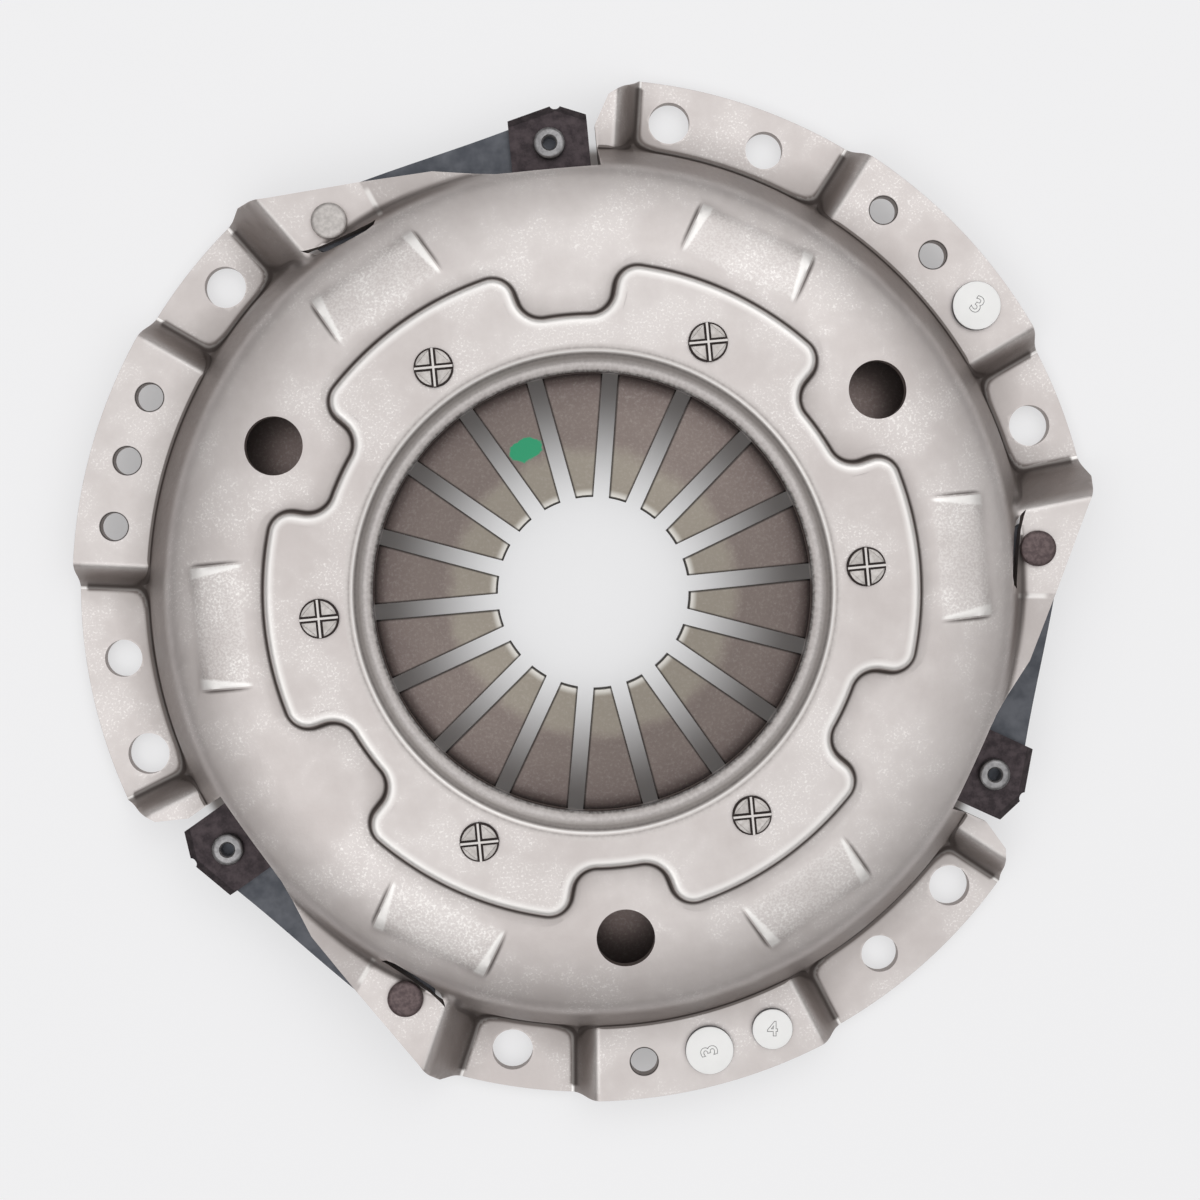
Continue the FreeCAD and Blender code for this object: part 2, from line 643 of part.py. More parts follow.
def make_spring():
    rise = "(spring_leaf / 2 / cos(spring_cone))"
    finger_rise = "(spring_leaf / 2 / cos(finger_cone))"
    rim = "(%s - (spring_radius - %s) * tan(spring_cone))" % (SPRING_Z, RING_CIRCLE)
    crease = "(finger_tip + finger_flat)"
    bend = "(%s + (%s - %s) * tan(spring_cone))" % (SPRING_Z, RING_CIRCLE, crease)
    tip = "(%s + finger_flat * tan(finger_cone))" % bend
    body = turned_body("diaphragm_spring", [
        ("finger_tip", "%s - %s" % (tip, finger_rise)),
        (crease, "%s - %s" % (bend, rise)),
        ("spring_radius", "%s - %s" % (rim, rise)),
        ("spring_radius", "%s + %s" % (rim, rise)),
        (crease, "%s + %s" % (bend, rise)),
        ("finger_tip", "%s + %s" % (tip, finger_rise)),
    ])
    sketch = body.newObject("Sketcher::SketchObject", "slot_outline")
    sketch.AttachmentSupport = [(origin_plane(body, "XY_Plane"), "")]
    sketch.MapMode = "FlatFace"
    draw(sketch, [
        ("finger_tip / 2", "-slot_width / 2"),
        (PIVOT_CIRCLE, "-slot_width / 2"),
        (PIVOT_CIRCLE, "slot_width / 2"),
        ("finger_tip / 2", "slot_width / 2"),
    ])
    slot = body.newObject("PartDesign::Pocket", "slot")
    slot.Profile = sketch
    slot.setExpression("Length", bound("3 * platform_level"))
    slot.Midplane = True
    eye = round_hole(body, "slot_eye_hole", "slot_eye", "3 * platform_level", x=PIVOT_CIRCLE)
    doc.recompute()
    fingers = body.newObject("PartDesign::PolarPattern", "fingers")
    fingers.Originals = [slot, eye]
    fingers.Axis = (sketch, ["N_Axis"])
    fingers.Angle = 360
    fingers.setExpression("Occurrences", bound("finger_count"))
    body.Tip = fingers
    keep(body, "diaphragm_spring")


make_spring()


# Fulcrum rings: wire hoops above and below the spring.

def make_ring(name, height):
    ring = feature("Part::Torus", name, {"Radius1": RING_CIRCLE, "Radius2": "ring_wire"})
    keep(place(ring, z=height), name)


make_ring("upper_fulcrum_ring", UPPER_RING_Z)
make_ring("lower_fulcrum_ring", LOWER_RING_Z)


# Pivot rivets: a cross-marked head on the platform, a shank through the spring, and a broad foot.

def make_pivot_rivet(index):
    name = "pivot_rivet_%d" % (index + 1)
    top = "(platform_level + pivot_head_height)"
    body = turned_body(name, [
        ("0", "%s - pivot_foot_height" % RIVET_FOOT_Z),
        ("pivot_foot - pivot_foot_edge", "%s - pivot_foot_height" % RIVET_FOOT_Z),
        ("pivot_foot", "%s - pivot_foot_height + pivot_foot_edge" % RIVET_FOOT_Z),
        ("pivot_foot", RIVET_FOOT_Z),
        ("pivot_shank", RIVET_FOOT_Z),
        ("pivot_shank", "platform_level"),
        ("pivot_head", "platform_level"),
        ("pivot_head", top + " - pivot_head_edge"),
        ("pivot_head - pivot_head_edge", top),
        ("0", top),
    ])
    put_round(body, PIVOT_CIRCLE, "(%d * 360 / %d)" % (index, PIVOTS), turn="-%d * 360 / %d" % (index, PIVOTS))
    keep(body, name)


for index in range(PIVOTS):
    make_pivot_rivet(index)


# Pressure plate: a cast ring with a fulcrum bead for the spring and three lugs for the straps.

def plate_lug(sector):
    """A lug's outline: cut corners at its end, and a fillet where it grows out of the ring."""
    flare = "(lug_half_width + lug_fillet)"
    root = "sqrt(%s ^ 2 - %s ^ 2)" % (PLATE_OUTER, flare)
    inside = "%s - lug_root" % PLATE_OUTER
    reach = "(%s + lug_end)" % STRAP_CIRCLE
    bow_x = "%s + lug_fillet * (1 - cos(45))" % root
    bow_y = "(%s - lug_fillet * sin(45))" % flare
    lug = padded_body("plate_lug_%d" % sector, [
        (inside, "-" + flare),
        (root, "-" + flare),
        (bow_x, "-" + bow_y, "bow"),
        (root + " + lug_fillet", "-lug_half_width"),
        (reach + " - lug_corner", "-lug_half_width"),
        (reach, "-lug_half_width + lug_corner"),
        (reach, "lug_half_width - lug_corner"),
        (reach + " - lug_corner", "lug_half_width"),
        (root + " + lug_fillet", "lug_half_width"),
        (bow_x, bow_y, "bow"),
        (root, flare),
        (inside, flare),
    ], LUG_FLOOR, "%s - %s" % (LUG_TOP, LUG_FLOOR))
    return place(lug, turn="%d * 360 / %d + lug_angle" % (sector, SECTORS))


def make_pressure_plate():
    ring = turned_body("plate_ring", [
        (PLATE_INNER, "friction_level"),
        (PLATE_OUTER, "friction_level"),
        (PLATE_OUTER, "%s - plate_chamfer" % PLATE_TOP),
        ("%s - plate_chamfer" % PLATE_OUTER, PLATE_TOP),
        (PLATE_INNER, PLATE_TOP),
    ])
    bead = feature("Part::Torus", "plate_bead", {"Radius1": BEAD_CIRCLE, "Radius2": "bead_round"})
    pieces = [ring, place(bead, z=BEAD_Z)]
    bores = []
    for sector in range(SECTORS):
        angle = "(%d * 360 / %d + lug_angle)" % (sector, SECTORS)
        pieces.append(plate_lug(sector))
        bores.append(drill("lug_bore_%d" % sector, STRAP_CIRCLE, angle, "strap_shank + hole_play"))
    keep(cut("pressure_plate", fuse("plate_casting", pieces), fuse("lug_bores", bores)), "pressure_plate")


make_pressure_plate()


# Drive straps: two spring leaves from each boss down to a lug, riveted at both ends.

def make_strap_leaf(sector, layer, word):
    name = "drive_strap_%d_%s" % (sector + 1, word)
    top = "(%s - %d * strap_leaf)" % (BOSS_UNDER, layer)
    low = "(%s - strap_drop)" % top
    far = "(%s + strap_half_width)" % STRAP_LENGTH
    section = doc.addObject("Sketcher::SketchObject", name + "_section")
    section.Placement = FreeCAD.Placement(FreeCAD.Vector(), FreeCAD.Rotation(FreeCAD.Vector(1, 0, 0), 90))
    draw(section, [
        ("-strap_half_width", top),
        ("-strap_half_width", "%s - strap_leaf" % top),
        ("strap_flat", "%s - strap_leaf" % top),
        ("%s - strap_flat" % STRAP_LENGTH, "%s - strap_leaf" % low),
        (far, "%s - strap_leaf" % low),
        (far, low),
        ("%s - strap_flat" % STRAP_LENGTH, low),
        ("strap_flat", top),
    ])
    strip = feature("Part::Extrusion", name + "_strip", {
        "LengthFwd": "strap_half_width",
        "LengthRev": "strap_half_width",
    })
    strip.Base = section
    strip.DirMode = "Custom"
    strip.Dir = FreeCAD.Vector(0, 1, 0)
    strip.Solid = True
    tall = "2 * platform_level"
    bar = feature("Part::Box", name + "_bar", {"Length": STRAP_LENGTH, "Width": "2 * strap_half_width", "Height": tall})
    place(bar, y="-strap_half_width")
    ends = [bar]
    holes = []
    for number, x in enumerate(("0", STRAP_LENGTH)):
        end = feature("Part::Cylinder", "%s_end_%d" % (name, number), {"Radius": "strap_half_width", "Height": tall})
        ends.append(place(end, x=x))
        hole = feature("Part::Cylinder", "%s_hole_%d" % (name, number), {
            "Radius": "strap_shank + hole_play",
            "Height": tall,
        })
        holes.append(place(hole, x=x))
    rounded = doc.addObject("Part::Common", name + "_rounded")
    rounded.Base = strip
    rounded.Tool = fuse(name + "_plan", ends)
    leaf = cut(name, rounded, fuse(name + "_holes", holes))
    put_round(leaf, STRAP_CIRCLE, "(%d * 360 / %d)" % (sector, SECTORS), turn="-90 + lug_angle / 2")
    keep(leaf, name)


for sector in range(SECTORS):
    for layer, word in enumerate(("upper", "lower")):
        make_strap_leaf(sector, layer, word)


# Lug retainers: stamped plates under the lug rivets' heads. Their outer edge is a low roof whose two
# sides are bent down past the strap, with a round relief where they meet.

def retainer_lip(name, edge, turn):
    """One bent side: a sloping strip, kept where it lies between the fold and the outer edge."""
    fold = "(retainer_shoulder - retainer_lip)"
    section = doc.addObject("Sketcher::SketchObject", name + "_section")
    section.Placement = FreeCAD.Placement(FreeCAD.Vector(), FreeCAD.Rotation(FreeCAD.Vector(1, 0, 0), 90))
    low = "%s - 2 * retainer_lip * tan(retainer_bend_angle)" % RETAINER_TOP
    draw(section, [
        ("0", RETAINER_TOP),
        ("0", STRAP_END),
        ("2 * retainer_lip", "%s - retainer_sheet" % low),
        ("2 * retainer_lip", low),
    ])
    strip = feature("Part::Extrusion", name + "_strip", {
        "LengthFwd": "3 * retainer_half_width",
        "LengthRev": "3 * retainer_half_width",
    })
    strip.Base = section
    strip.DirMode = "Custom"
    strip.Dir = FreeCAD.Vector(0, 1, 0)
    strip.Solid = True
    place(strip, x=fold, y=edge, turn=turn)
    band = padded_body(name + "_band", [
        (fold, edge),
        ("retainer_peak - retainer_lip", "-retainer_shift"),
        ("retainer_peak", "-retainer_shift"),
        ("retainer_shoulder", edge),
    ], "0", "platform_level")
    lip = doc.addObject("Part::Common", name)
    lip.Base = strip
    lip.Tool = band
    return lip


def make_lug_retainer(sector):
    name = "lug_retainer_%d" % (sector + 1)
    roof = "(retainer_peak - retainer_shoulder)"
    flat = padded_body(name + "_flat", [
        ("-retainer_tail", "-retainer_half_width"),
        ("retainer_shoulder - retainer_lip", "-retainer_half_width"),
        ("retainer_peak - retainer_lip", "-retainer_shift"),
        ("retainer_shoulder - retainer_lip", "retainer_half_width"),
        ("-retainer_tail", "retainer_half_width"),
    ], STRAP_END, "retainer_sheet")
    near = retainer_lip(name + "_near_lip", "retainer_half_width",
                        "atan(%s / (retainer_half_width + retainer_shift))" % roof)
    far = retainer_lip(name + "_far_lip", "-retainer_half_width",
                       "-atan(%s / (retainer_half_width - retainer_shift))" % roof)
    bore = drill(name + "_bore", "0", "0", "strap_shank + hole_play")
    relief = drill(name + "_relief", "0", "0", "retainer_relief")
    place(relief, x="retainer_peak", y="-retainer_shift", z=BASE)
    pressed = fuse(name + "_pressed", [flat, near, far])
    retainer = cut(name, pressed, fuse(name + "_holes", [bore, relief]))
    put_round(retainer, STRAP_CIRCLE, "(%d * 360 / %d + lug_angle)" % (sector, SECTORS))
    keep(retainer, name)


# Strap rivets: solid ones on the bosses and tubular ones on the lugs.

def make_cover_strap_rivet(sector):
    name = "cover_strap_rivet_%d" % (sector + 1)
    foot = "(%s - 2 * strap_leaf)" % BOSS_UNDER
    body = turned_body(name, [
        ("0", "%s - strap_foot_height" % foot),
        ("strap_foot", "%s - strap_foot_height" % foot),
        ("strap_foot", foot),
        ("strap_shank", foot),
        ("strap_shank", "boss_level"),
        ("cover_rivet_head", "boss_level"),
        ("cover_rivet_head", "boss_level + strap_head_height - strap_head_edge"),
        ("cover_rivet_head - strap_head_edge", "boss_level + strap_head_height"),
        ("0", "boss_level + strap_head_height"),
    ])
    keep(put_round(body, STRAP_CIRCLE, "(%d * 360 / %d)" % (sector, SECTORS)), name)


def make_lug_rivet(sector):
    name = "lug_rivet_%d" % (sector + 1)
    body = turned_body(name, [
        ("lug_rivet_bore", "%s - strap_foot_height" % LUG_FLOOR),
        ("strap_foot", "%s - strap_foot_height" % LUG_FLOOR),
        ("strap_foot", LUG_FLOOR),
        ("strap_shank", LUG_FLOOR),
        ("strap_shank", RETAINER_TOP),
        ("lug_rivet_head", RETAINER_TOP),
        ("lug_rivet_head", "%s + strap_head_height - strap_head_edge" % RETAINER_TOP),
        ("lug_rivet_head - strap_head_edge", "%s + strap_head_height" % RETAINER_TOP),
        ("lug_rivet_bore", "%s + strap_head_height" % RETAINER_TOP),
    ])
    keep(put_round(body, STRAP_CIRCLE, "(%d * 360 / %d + lug_angle)" % (sector, SECTORS)), name)


for sector in range(SECTORS):
    make_lug_retainer(sector)
    make_cover_strap_rivet(sector)
    make_lug_rivet(sector)


# Balance rivets: flat heads on the lands, each in one of the balance holes.

def make_balance_rivet(number, angle, head):
    name = "balance_rivet_%d" % number
    under = "(land_level - steel)"
    body = turned_body(name, [
        ("0", "%s - balance_foot_height" % under),
        ("balance_radius + balance_foot", "%s - balance_foot_height" % under),
        ("balance_radius + balance_foot", under),
        ("balance_radius - hole_play", under),
        ("balance_radius - hole_play", "land_level"),
        (head, "land_level"),
        (head, "land_level + balance_head_height - balance_edge"),
        ("%s - balance_edge" % head, "land_level + balance_head_height"),
        ("0", "land_level + balance_head_height"),
    ])
    keep(put_round(body, BOLT_CIRCLE, angle), name)


make_balance_rivet(1, "balance_first_angle", "balance_head_large")
make_balance_rivet(2, "(balance_first_angle + 2 * balance_spacing_angle - 360 / %d)" % SECTORS, "balance_head_small")
make_balance_rivet(3, "(balance_first_angle + balance_spacing_angle - 360 / %d)" % SECTORS, "balance_head_large")


doc.recompute()
for made in doc.Objects:
    if "Invalid" in made.State or "Error" in made.State:
        raise RuntimeError("failed: %s %s" % (made.Name, made.State))
for name, piece in parts:
    if piece.Shape.isNull() or not piece.Shape.isValid():
        raise RuntimeError("bad shape: " + name)

os.makedirs("parts", exist_ok=True)
for name, piece in parts:
    piece.Shape.exportStep(os.path.join("parts", name + ".step"))
    print("%-24s %2d solid %10.1f mm3" % (name, len(piece.Shape.Solids), piece.Shape.Volume))
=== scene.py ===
import math

import bmesh
import bpy
import numpy as np
from mathutils import Matrix, Vector


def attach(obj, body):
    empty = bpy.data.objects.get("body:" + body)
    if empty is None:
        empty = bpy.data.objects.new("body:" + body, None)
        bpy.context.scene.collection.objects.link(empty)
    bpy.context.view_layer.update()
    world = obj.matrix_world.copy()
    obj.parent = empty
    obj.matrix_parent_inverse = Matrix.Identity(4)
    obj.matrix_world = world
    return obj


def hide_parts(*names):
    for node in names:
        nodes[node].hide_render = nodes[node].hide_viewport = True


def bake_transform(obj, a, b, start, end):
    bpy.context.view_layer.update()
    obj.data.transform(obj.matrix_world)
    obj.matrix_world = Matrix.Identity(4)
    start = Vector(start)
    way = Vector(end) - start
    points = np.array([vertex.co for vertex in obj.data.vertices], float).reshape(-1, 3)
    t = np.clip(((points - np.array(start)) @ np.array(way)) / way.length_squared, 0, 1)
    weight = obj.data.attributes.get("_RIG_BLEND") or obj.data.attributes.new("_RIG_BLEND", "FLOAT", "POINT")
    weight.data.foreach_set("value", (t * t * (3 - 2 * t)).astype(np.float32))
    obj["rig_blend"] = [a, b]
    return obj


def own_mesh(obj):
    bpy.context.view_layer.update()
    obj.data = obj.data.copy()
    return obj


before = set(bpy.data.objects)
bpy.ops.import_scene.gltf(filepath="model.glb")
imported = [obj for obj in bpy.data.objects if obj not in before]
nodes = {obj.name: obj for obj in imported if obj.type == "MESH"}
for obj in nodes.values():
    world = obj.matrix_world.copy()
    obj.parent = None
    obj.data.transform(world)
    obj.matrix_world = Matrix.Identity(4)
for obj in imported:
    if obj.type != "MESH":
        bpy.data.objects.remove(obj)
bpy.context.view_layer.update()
MM = 0.001


# Camera: almost straight above the cover, a little off its axis, as the photograph was taken.
# The lens is long enough for the cover to fill most of the square frame.
camera_data = bpy.data.cameras.new("camera")
camera_data.sensor_width = 36.0
camera_data.lens = 62.66
camera = bpy.data.objects.new("camera", camera_data)
bpy.context.scene.collection.objects.link(camera)
lean = Vector((math.radians(-1.689), math.radians(-1.445), 0.0))
camera_turn = Matrix.Rotation(math.radians(-5.432), 4, "Z")
camera_turn = camera_turn @ Matrix.Rotation(lean.length, 4, lean.normalized())
camera.matrix_world = Matrix.Translation(Vector((-8.237, 11.747, 454.105)) * MM) @ camera_turn
bpy.context.scene.camera = camera


class Value:
    """A socket in a material's node tree. Arithmetic on it adds Math nodes."""

    def __init__(self, tree, socket=None):
        self.tree = tree
        self.socket = socket

    def add(self, kind, settings, sockets, output=0):
        """Add a node: its settings first, then the values or links of its sockets."""
        node = self.tree.nodes.new(kind)
        for key, setting in settings.items():
            setattr(node, key, setting)
        for key, value in sockets.items():
            if isinstance(value, Value):
                self.tree.links.new(value.socket, node.inputs[key])
            else:
                node.inputs[key].default_value = value
        return Value(self.tree, node.outputs[output])

    def math(self, operation, *values):
        """Add a Math node; the values are all its inputs, in order."""
        return self.add("ShaderNodeMath", {"operation": operation}, dict(enumerate(values)))

    def __add__(self, other):
        return self.math("ADD", self, other)

    def __radd__(self, other):
        return self.math("ADD", other, self)

    def __sub__(self, other):
        return self.math("SUBTRACT", self, other)

    def __rsub__(self, other):
        return self.math("SUBTRACT", other, self)

    def __mul__(self, other):
        return self.math("MULTIPLY", self, other)

    def __rmul__(self, other):
        return self.math("MULTIPLY", other, self)

    def __truediv__(self, other):
        return self.math("DIVIDE", self, other)

    def __pow__(self, other):
        return self.math("POWER", self, other)

    def least(self, other):
        return self.math("MINIMUM", self, other)

    def most(self, other):
        return self.math("MAXIMUM", self, other)

    def absolute(self):
        return self.math("ABSOLUTE", self)

    def fraction(self):
        return self.math("FRACT", self)

    def sine(self):
        return self.math("SINE", self)

    def cosine(self):
        return self.math("COSINE", self)

    def axis(self, index):
        """One coordinate of a vector."""
        return self.add("ShaderNodeSeparateXYZ", {}, {0: self}, index)

    def length(self):
        return self.add("ShaderNodeVectorMath", {"operation": "LENGTH"}, {0: self}, "Value")

    def angle_about_z(self):
        """The angle of a place round the Z axis, in radians."""
        return self.math("ARCTAN2", self.axis(1), self.axis(0))

    def step(self, low, high):
        """A smooth step from 0 to 1 between two values."""
        sockets = {0: self, 1: low, 2: high, 3: 0.0, 4: 1.0}
        return self.add("ShaderNodeMapRange", {"interpolation_type": "SMOOTHSTEP"}, sockets)

    def noise(self, size, detail=3.0, roughness=0.5, stretch=(1.0, 1.0, 1.0)):
        """Soft noise whose patches are about one size across, in metres."""
        where = self.add("ShaderNodeMapping", {}, {"Vector": self, "Scale": stretch})
        sockets = {"Vector": where, "Scale": 1.0 / size, "Detail": detail, "Roughness": roughness}
        return self.add("ShaderNodeTexNoise", {}, sockets)

    def blend(self, low, high):
        """A colour between two colours, by this value."""
        low, high = [colour if isinstance(colour, Value) else (*colour, 1.0) for colour in (low, high)]
        return self.add("ShaderNodeMix", {"data_type": "RGBA"}, {0: self, 6: low, 7: high}, 2)

    def ramp(self, stops):
        """A colour from a ramp of places and colours, by this value."""
        result = self.add("ShaderNodeValToRGB", {}, {0: self})
        elements = result.socket.node.color_ramp.elements
        while len(elements) < len(stops):
            elements.new(0.5)
        for element, (place, colour) in zip(elements, stops):
            element.position = place
            element.color = (*colour, 1.0)
        return result

    def feed(self, shader, name):
        self.tree.links.new(self.socket, shader.inputs[name])

    def bump(self, shader, height, strength=1.0):
        """Let this value raise the surface by a height in metres."""
        sockets = {"Height": self, "Distance": height, "Strength": strength}
        self.add("ShaderNodeBump", {}, sockets).feed(shader, "Normal")


def new_finish(name, **constants):
    """A material, its shader and the piece's own coordinates, with what is the same all over it."""
    material = bpy.data.materials.new(name)
    material.use_nodes = True
    shader = material.node_tree.nodes["Principled BSDF"]
    for key, setting in constants.items():
        shader.inputs[key.replace("_", " ")].default_value = setting
    place = Value(material.node_tree).add("ShaderNodeTexCoord", {}, {}, "Object")
    return material, shader, place


# Studio: a pale table top under a white tent, bright overhead and dim at its sides, with two weak lamps.
# The table glows where the camera sees it, most at the very middle, where a painted pool of light lies, and
# hardly at all under the cover, where painted shadow darkens it.
TABLE_GAP = 0.0003
table_mesh = bpy.data.meshes.new("table")
shape = bmesh.new()
bmesh.ops.create_grid(shape, x_segments=1, y_segments=1, size=1.6)
bmesh.ops.translate(shape, verts=shape.verts, vec=(0, 0, -TABLE_GAP))
shape.to_mesh(table_mesh)
shape.free()
table = bpy.data.objects.new("table", table_mesh)
bpy.context.scene.collection.objects.link(table)
table_finish, table_shader, table_place = new_finish("table_top", Roughness=0.9, Specular_IOR_Level=0.0)
seen = table_place.add("ShaderNodeLightPath", {}, {}, "Is Camera Ray")
seen = seen.most(table_place.add("ShaderNodeLightPath", {}, {}, "Is Glossy Ray"))
glow = table_place.add("ShaderNodeEmission", {}, {"Color": (0.96, 0.96, 0.97, 1.0), "Strength": 1.0})
matt = Value(table_finish.node_tree, table_shader.outputs[0])
from_middle = table_place.length()
# Painted shadow: the table is darker and glows less under the cover's dish and, less so, under its lands.
under_dish = from_middle.step(0.016, 0.046) * (1.0 - from_middle.step(0.0935, 0.0965))
towards_land = (table_place.angle_about_z() * 3.0 - math.radians(117.0)).cosine().step(0.80, 0.87)
under_land = towards_land * from_middle.step(0.088, 0.092) * (1.0 - from_middle.step(0.107, 0.110))
painted_shadow = under_dish + under_land * 0.4
painted_shadow.blend((0.86, 0.86, 0.87), (0.50, 0.44, 0.41)).feed(table_shader, "Base Color")
# A painted pool of light makes the glow a little stronger at the very middle.
middle_glow = (0.56 + 0.16 * (1.0 - from_middle.step(0.010, 0.036))) * (1.0 - painted_shadow * 0.9)
mixed = table_place.add("ShaderNodeMixShader", {}, {0: seen * middle_glow, 1: matt, 2: glow})
table_finish.node_tree.links.new(mixed.socket, table_finish.node_tree.nodes["Material Output"].inputs[0])
table_mesh.materials.append(table_finish)

world = bpy.data.worlds.new("tent")
world.use_nodes = True
bpy.context.scene.world = world
sky = Value(world.node_tree)
looking = sky.add("ShaderNodeTexCoord", {}, {}, "Generated")
overhead = {0: looking, 1: (0.03, 0.05, 0.998)}
upward = sky.add("ShaderNodeVectorMath", {"operation": "DOT_PRODUCT"}, overhead, "Value")
tent = upward.step(0.40, 0.80).blend((0.15, 0.14, 0.135), (1.0, 1.0, 1.0))
tent.feed(world.node_tree.nodes["Background"], "Color")
world.node_tree.nodes["Background"].inputs["Strength"].default_value = 1.12

for name, spot, size, power in (
    ("lamp_key", (0.35, 0.5, 0.9), 0.6, 0.9),
    ("lamp_side", (-0.45, -0.35, 0.95), 0.5, 0.8),
):
    lamp_data = bpy.data.lights.new(name, "AREA")
    lamp_data.size = size
    lamp_data.energy = power
    lamp = bpy.data.objects.new(name, lamp_data)
    lamp.location = spot
    lamp.rotation_euler = (Vector((0, 0, 0.02)) - Vector(spot)).to_track_quat("-Z", "Y").to_euler()
    bpy.context.scene.collection.objects.link(lamp)


# Cover: one pressed steel sheet 3 mm thick. A crowned dish carries the lobed platform round its opening,
# and its flange steps between bolt seats, lands and strap bosses. All its bends are rounded.
# Every vertex lies on one column, which runs out from the opening, and on one row, which runs round.
# Sizes are in millimetres: first the sheet and the levels of its upper side.
STEEL = 3.0
SEAT, LAND, BOSS, DISH, PLATFORM, LIP = 3.0, 11.0, 19.0, 29.5, 33.0, 31.0
# The dish's crown and shoulder, and its wall, which is steeper below a knee.
CROWN_START, CROWN_BEND, SHOULDER_BEND = 66.0, 44.0, 6.5
CROWN_TURN, WALL_SLOPE, LOW_WALL_SLOPE = math.radians(26.0), math.radians(65.0), math.radians(79.0)
KNEE = 12.5
# Radii of the edges, of the holes' circles, and of the platform with its rounded rim.
OPENING, OUTSIDE = 44.5, 109.5
BOLT_CIRCLE, STRAP_CIRCLE, PIVOT_CIRCLE, DISH_HOLE_CIRCLE = 101.5, 93.7, 55.4, 71.2
PLATFORM_RADIUS, NOTCH_FLOOR, PLATFORM_RIM = 66.6, 56.1, 1.6
# Where the flange folds, in degrees from a strap boss, and the gusset that climbs from the boss.
LAND_START, LAND_END, HEEL_START, BOSS_START, BOSS_END = 24.9, 52.1, 81.2, -6.0, 5.6
FOLD_SLOPE = math.radians(67.0)
FOLD_FILLET = 3.0
GUSSET_LENGTH, GUSSET_RISE = 28.0, 3.6
NOWHERE = -20.0
# The pads on the crown: half their length, the radii between which they lie, and their height.
PAD_HALF, PAD_INNER, PAD_OUTER, PAD_RISE = 12.4, 70.1, 81.6, 0.15
COLUMNS = 840


def soft_max(a, b, reach):
    """The higher of two heights, with a fillet where they cross."""
    near = np.maximum(reach - np.abs(a - b), 0.0) / reach
    return np.maximum(a, b) + near * near * reach / 4


def soft_min(a, b, reach):
    """The lower of two heights, with a fillet where they cross."""
    return -soft_max(-a, -b, reach)


def ease(value, low, high):
    """A smooth share from 0 to 1 between two values."""
    share = np.clip((value - low) / (high - low), 0.0, 1.0)
    return share * share * (3 - 2 * share)


def crown_height(r, depth):
    """The revolved dish without its flange, drawn on past its foot; depth is how far inside the sheet."""
    crown = CROWN_BEND - depth
    shoulder = SHOULDER_BEND - depth
    crown_r = CROWN_START + CROWN_BEND * math.sin(CROWN_TURN)
    crown_z = DISH - CROWN_BEND * (1 - math.cos(CROWN_TURN))
    turn_r = crown_r - SHOULDER_BEND * math.sin(CROWN_TURN)
    turn_z = crown_z - SHOULDER_BEND * math.cos(CROWN_TURN)
    wall_r = turn_r + shoulder * math.sin(WALL_SLOPE)
    wall_z = turn_z + shoulder * math.cos(WALL_SLOPE)
    past_start = np.maximum(r - CROWN_START, 0.0)
    on_crown = DISH - CROWN_BEND + np.sqrt(np.maximum(crown ** 2 - past_start ** 2, 1.0))
    on_shoulder = turn_z + np.sqrt(np.maximum(shoulder ** 2 - (r - turn_r) ** 2, 0.0))
    high_wall = wall_z - (r - wall_r) * math.tan(WALL_SLOPE)
    knee_r = wall_r + (wall_z - KNEE) / math.tan(WALL_SLOPE)
    low_wall = KNEE - (r - knee_r) * math.tan(LOW_WALL_SLOPE)
    on_wall = soft_min(high_wall, low_wall, 2.0)
    shoulder_start = turn_r + shoulder * math.sin(CROWN_TURN)
    return np.where(r < shoulder_start, on_crown, np.where(r < wall_r, on_shoulder, on_wall))


def plateau(r, turn, start, end, level, depth):
    """A raised stretch of flange between two angles, each None where the outline cuts it off."""
    height = np.full_like(r, level - depth)
    shift = depth * math.tan(FOLD_SLOPE / 2)
    if start is not None:
        along = r * np.sin(np.radians(turn - start)) - shift
        height = soft_min(height, level - depth + along * math.tan(FOLD_SLOPE), FOLD_FILLET)
    if end is not None:
        along = r * np.sin(np.radians(end - turn)) - shift
        height = soft_min(height, level - depth + along * math.tan(FOLD_SLOPE), FOLD_FILLET)
    return height


def cover_height(r, degrees, depth):
    """The height of the sheet outside the platform, with the flange's steps and the dish's wall joined."""
    sector = degrees % 120.0
    turn = (degrees + 60.0) % 120.0 - 60.0
    land = plateau(r, sector, LAND_START, LAND_END, LAND, depth)
    heel = np.where(sector > 60.0, plateau(r, sector, HEEL_START, None, LAND, depth), NOWHERE)
    gusset = np.clip(r * np.sin(np.radians(BOSS_START - turn)) / GUSSET_LENGTH, 0.0, 1.3) * GUSSET_RISE
    boss = np.where(turn < -24.0, NOWHERE, plateau(r, turn, None, BOSS_END, BOSS, depth) + gusset)
    side = crown_height(r, depth)
    for step, level in ((land, LAND), (heel, LAND), (boss, BOSS)):
        on_ramp = np.clip((level - depth - step) / (level - SEAT), 0.0, 1.0)
        side = soft_max(side, step, 2.6 + 12.0 * on_ramp * on_ramp)
    return soft_max(side, np.full_like(r, SEAT - depth), 3.2 + depth)


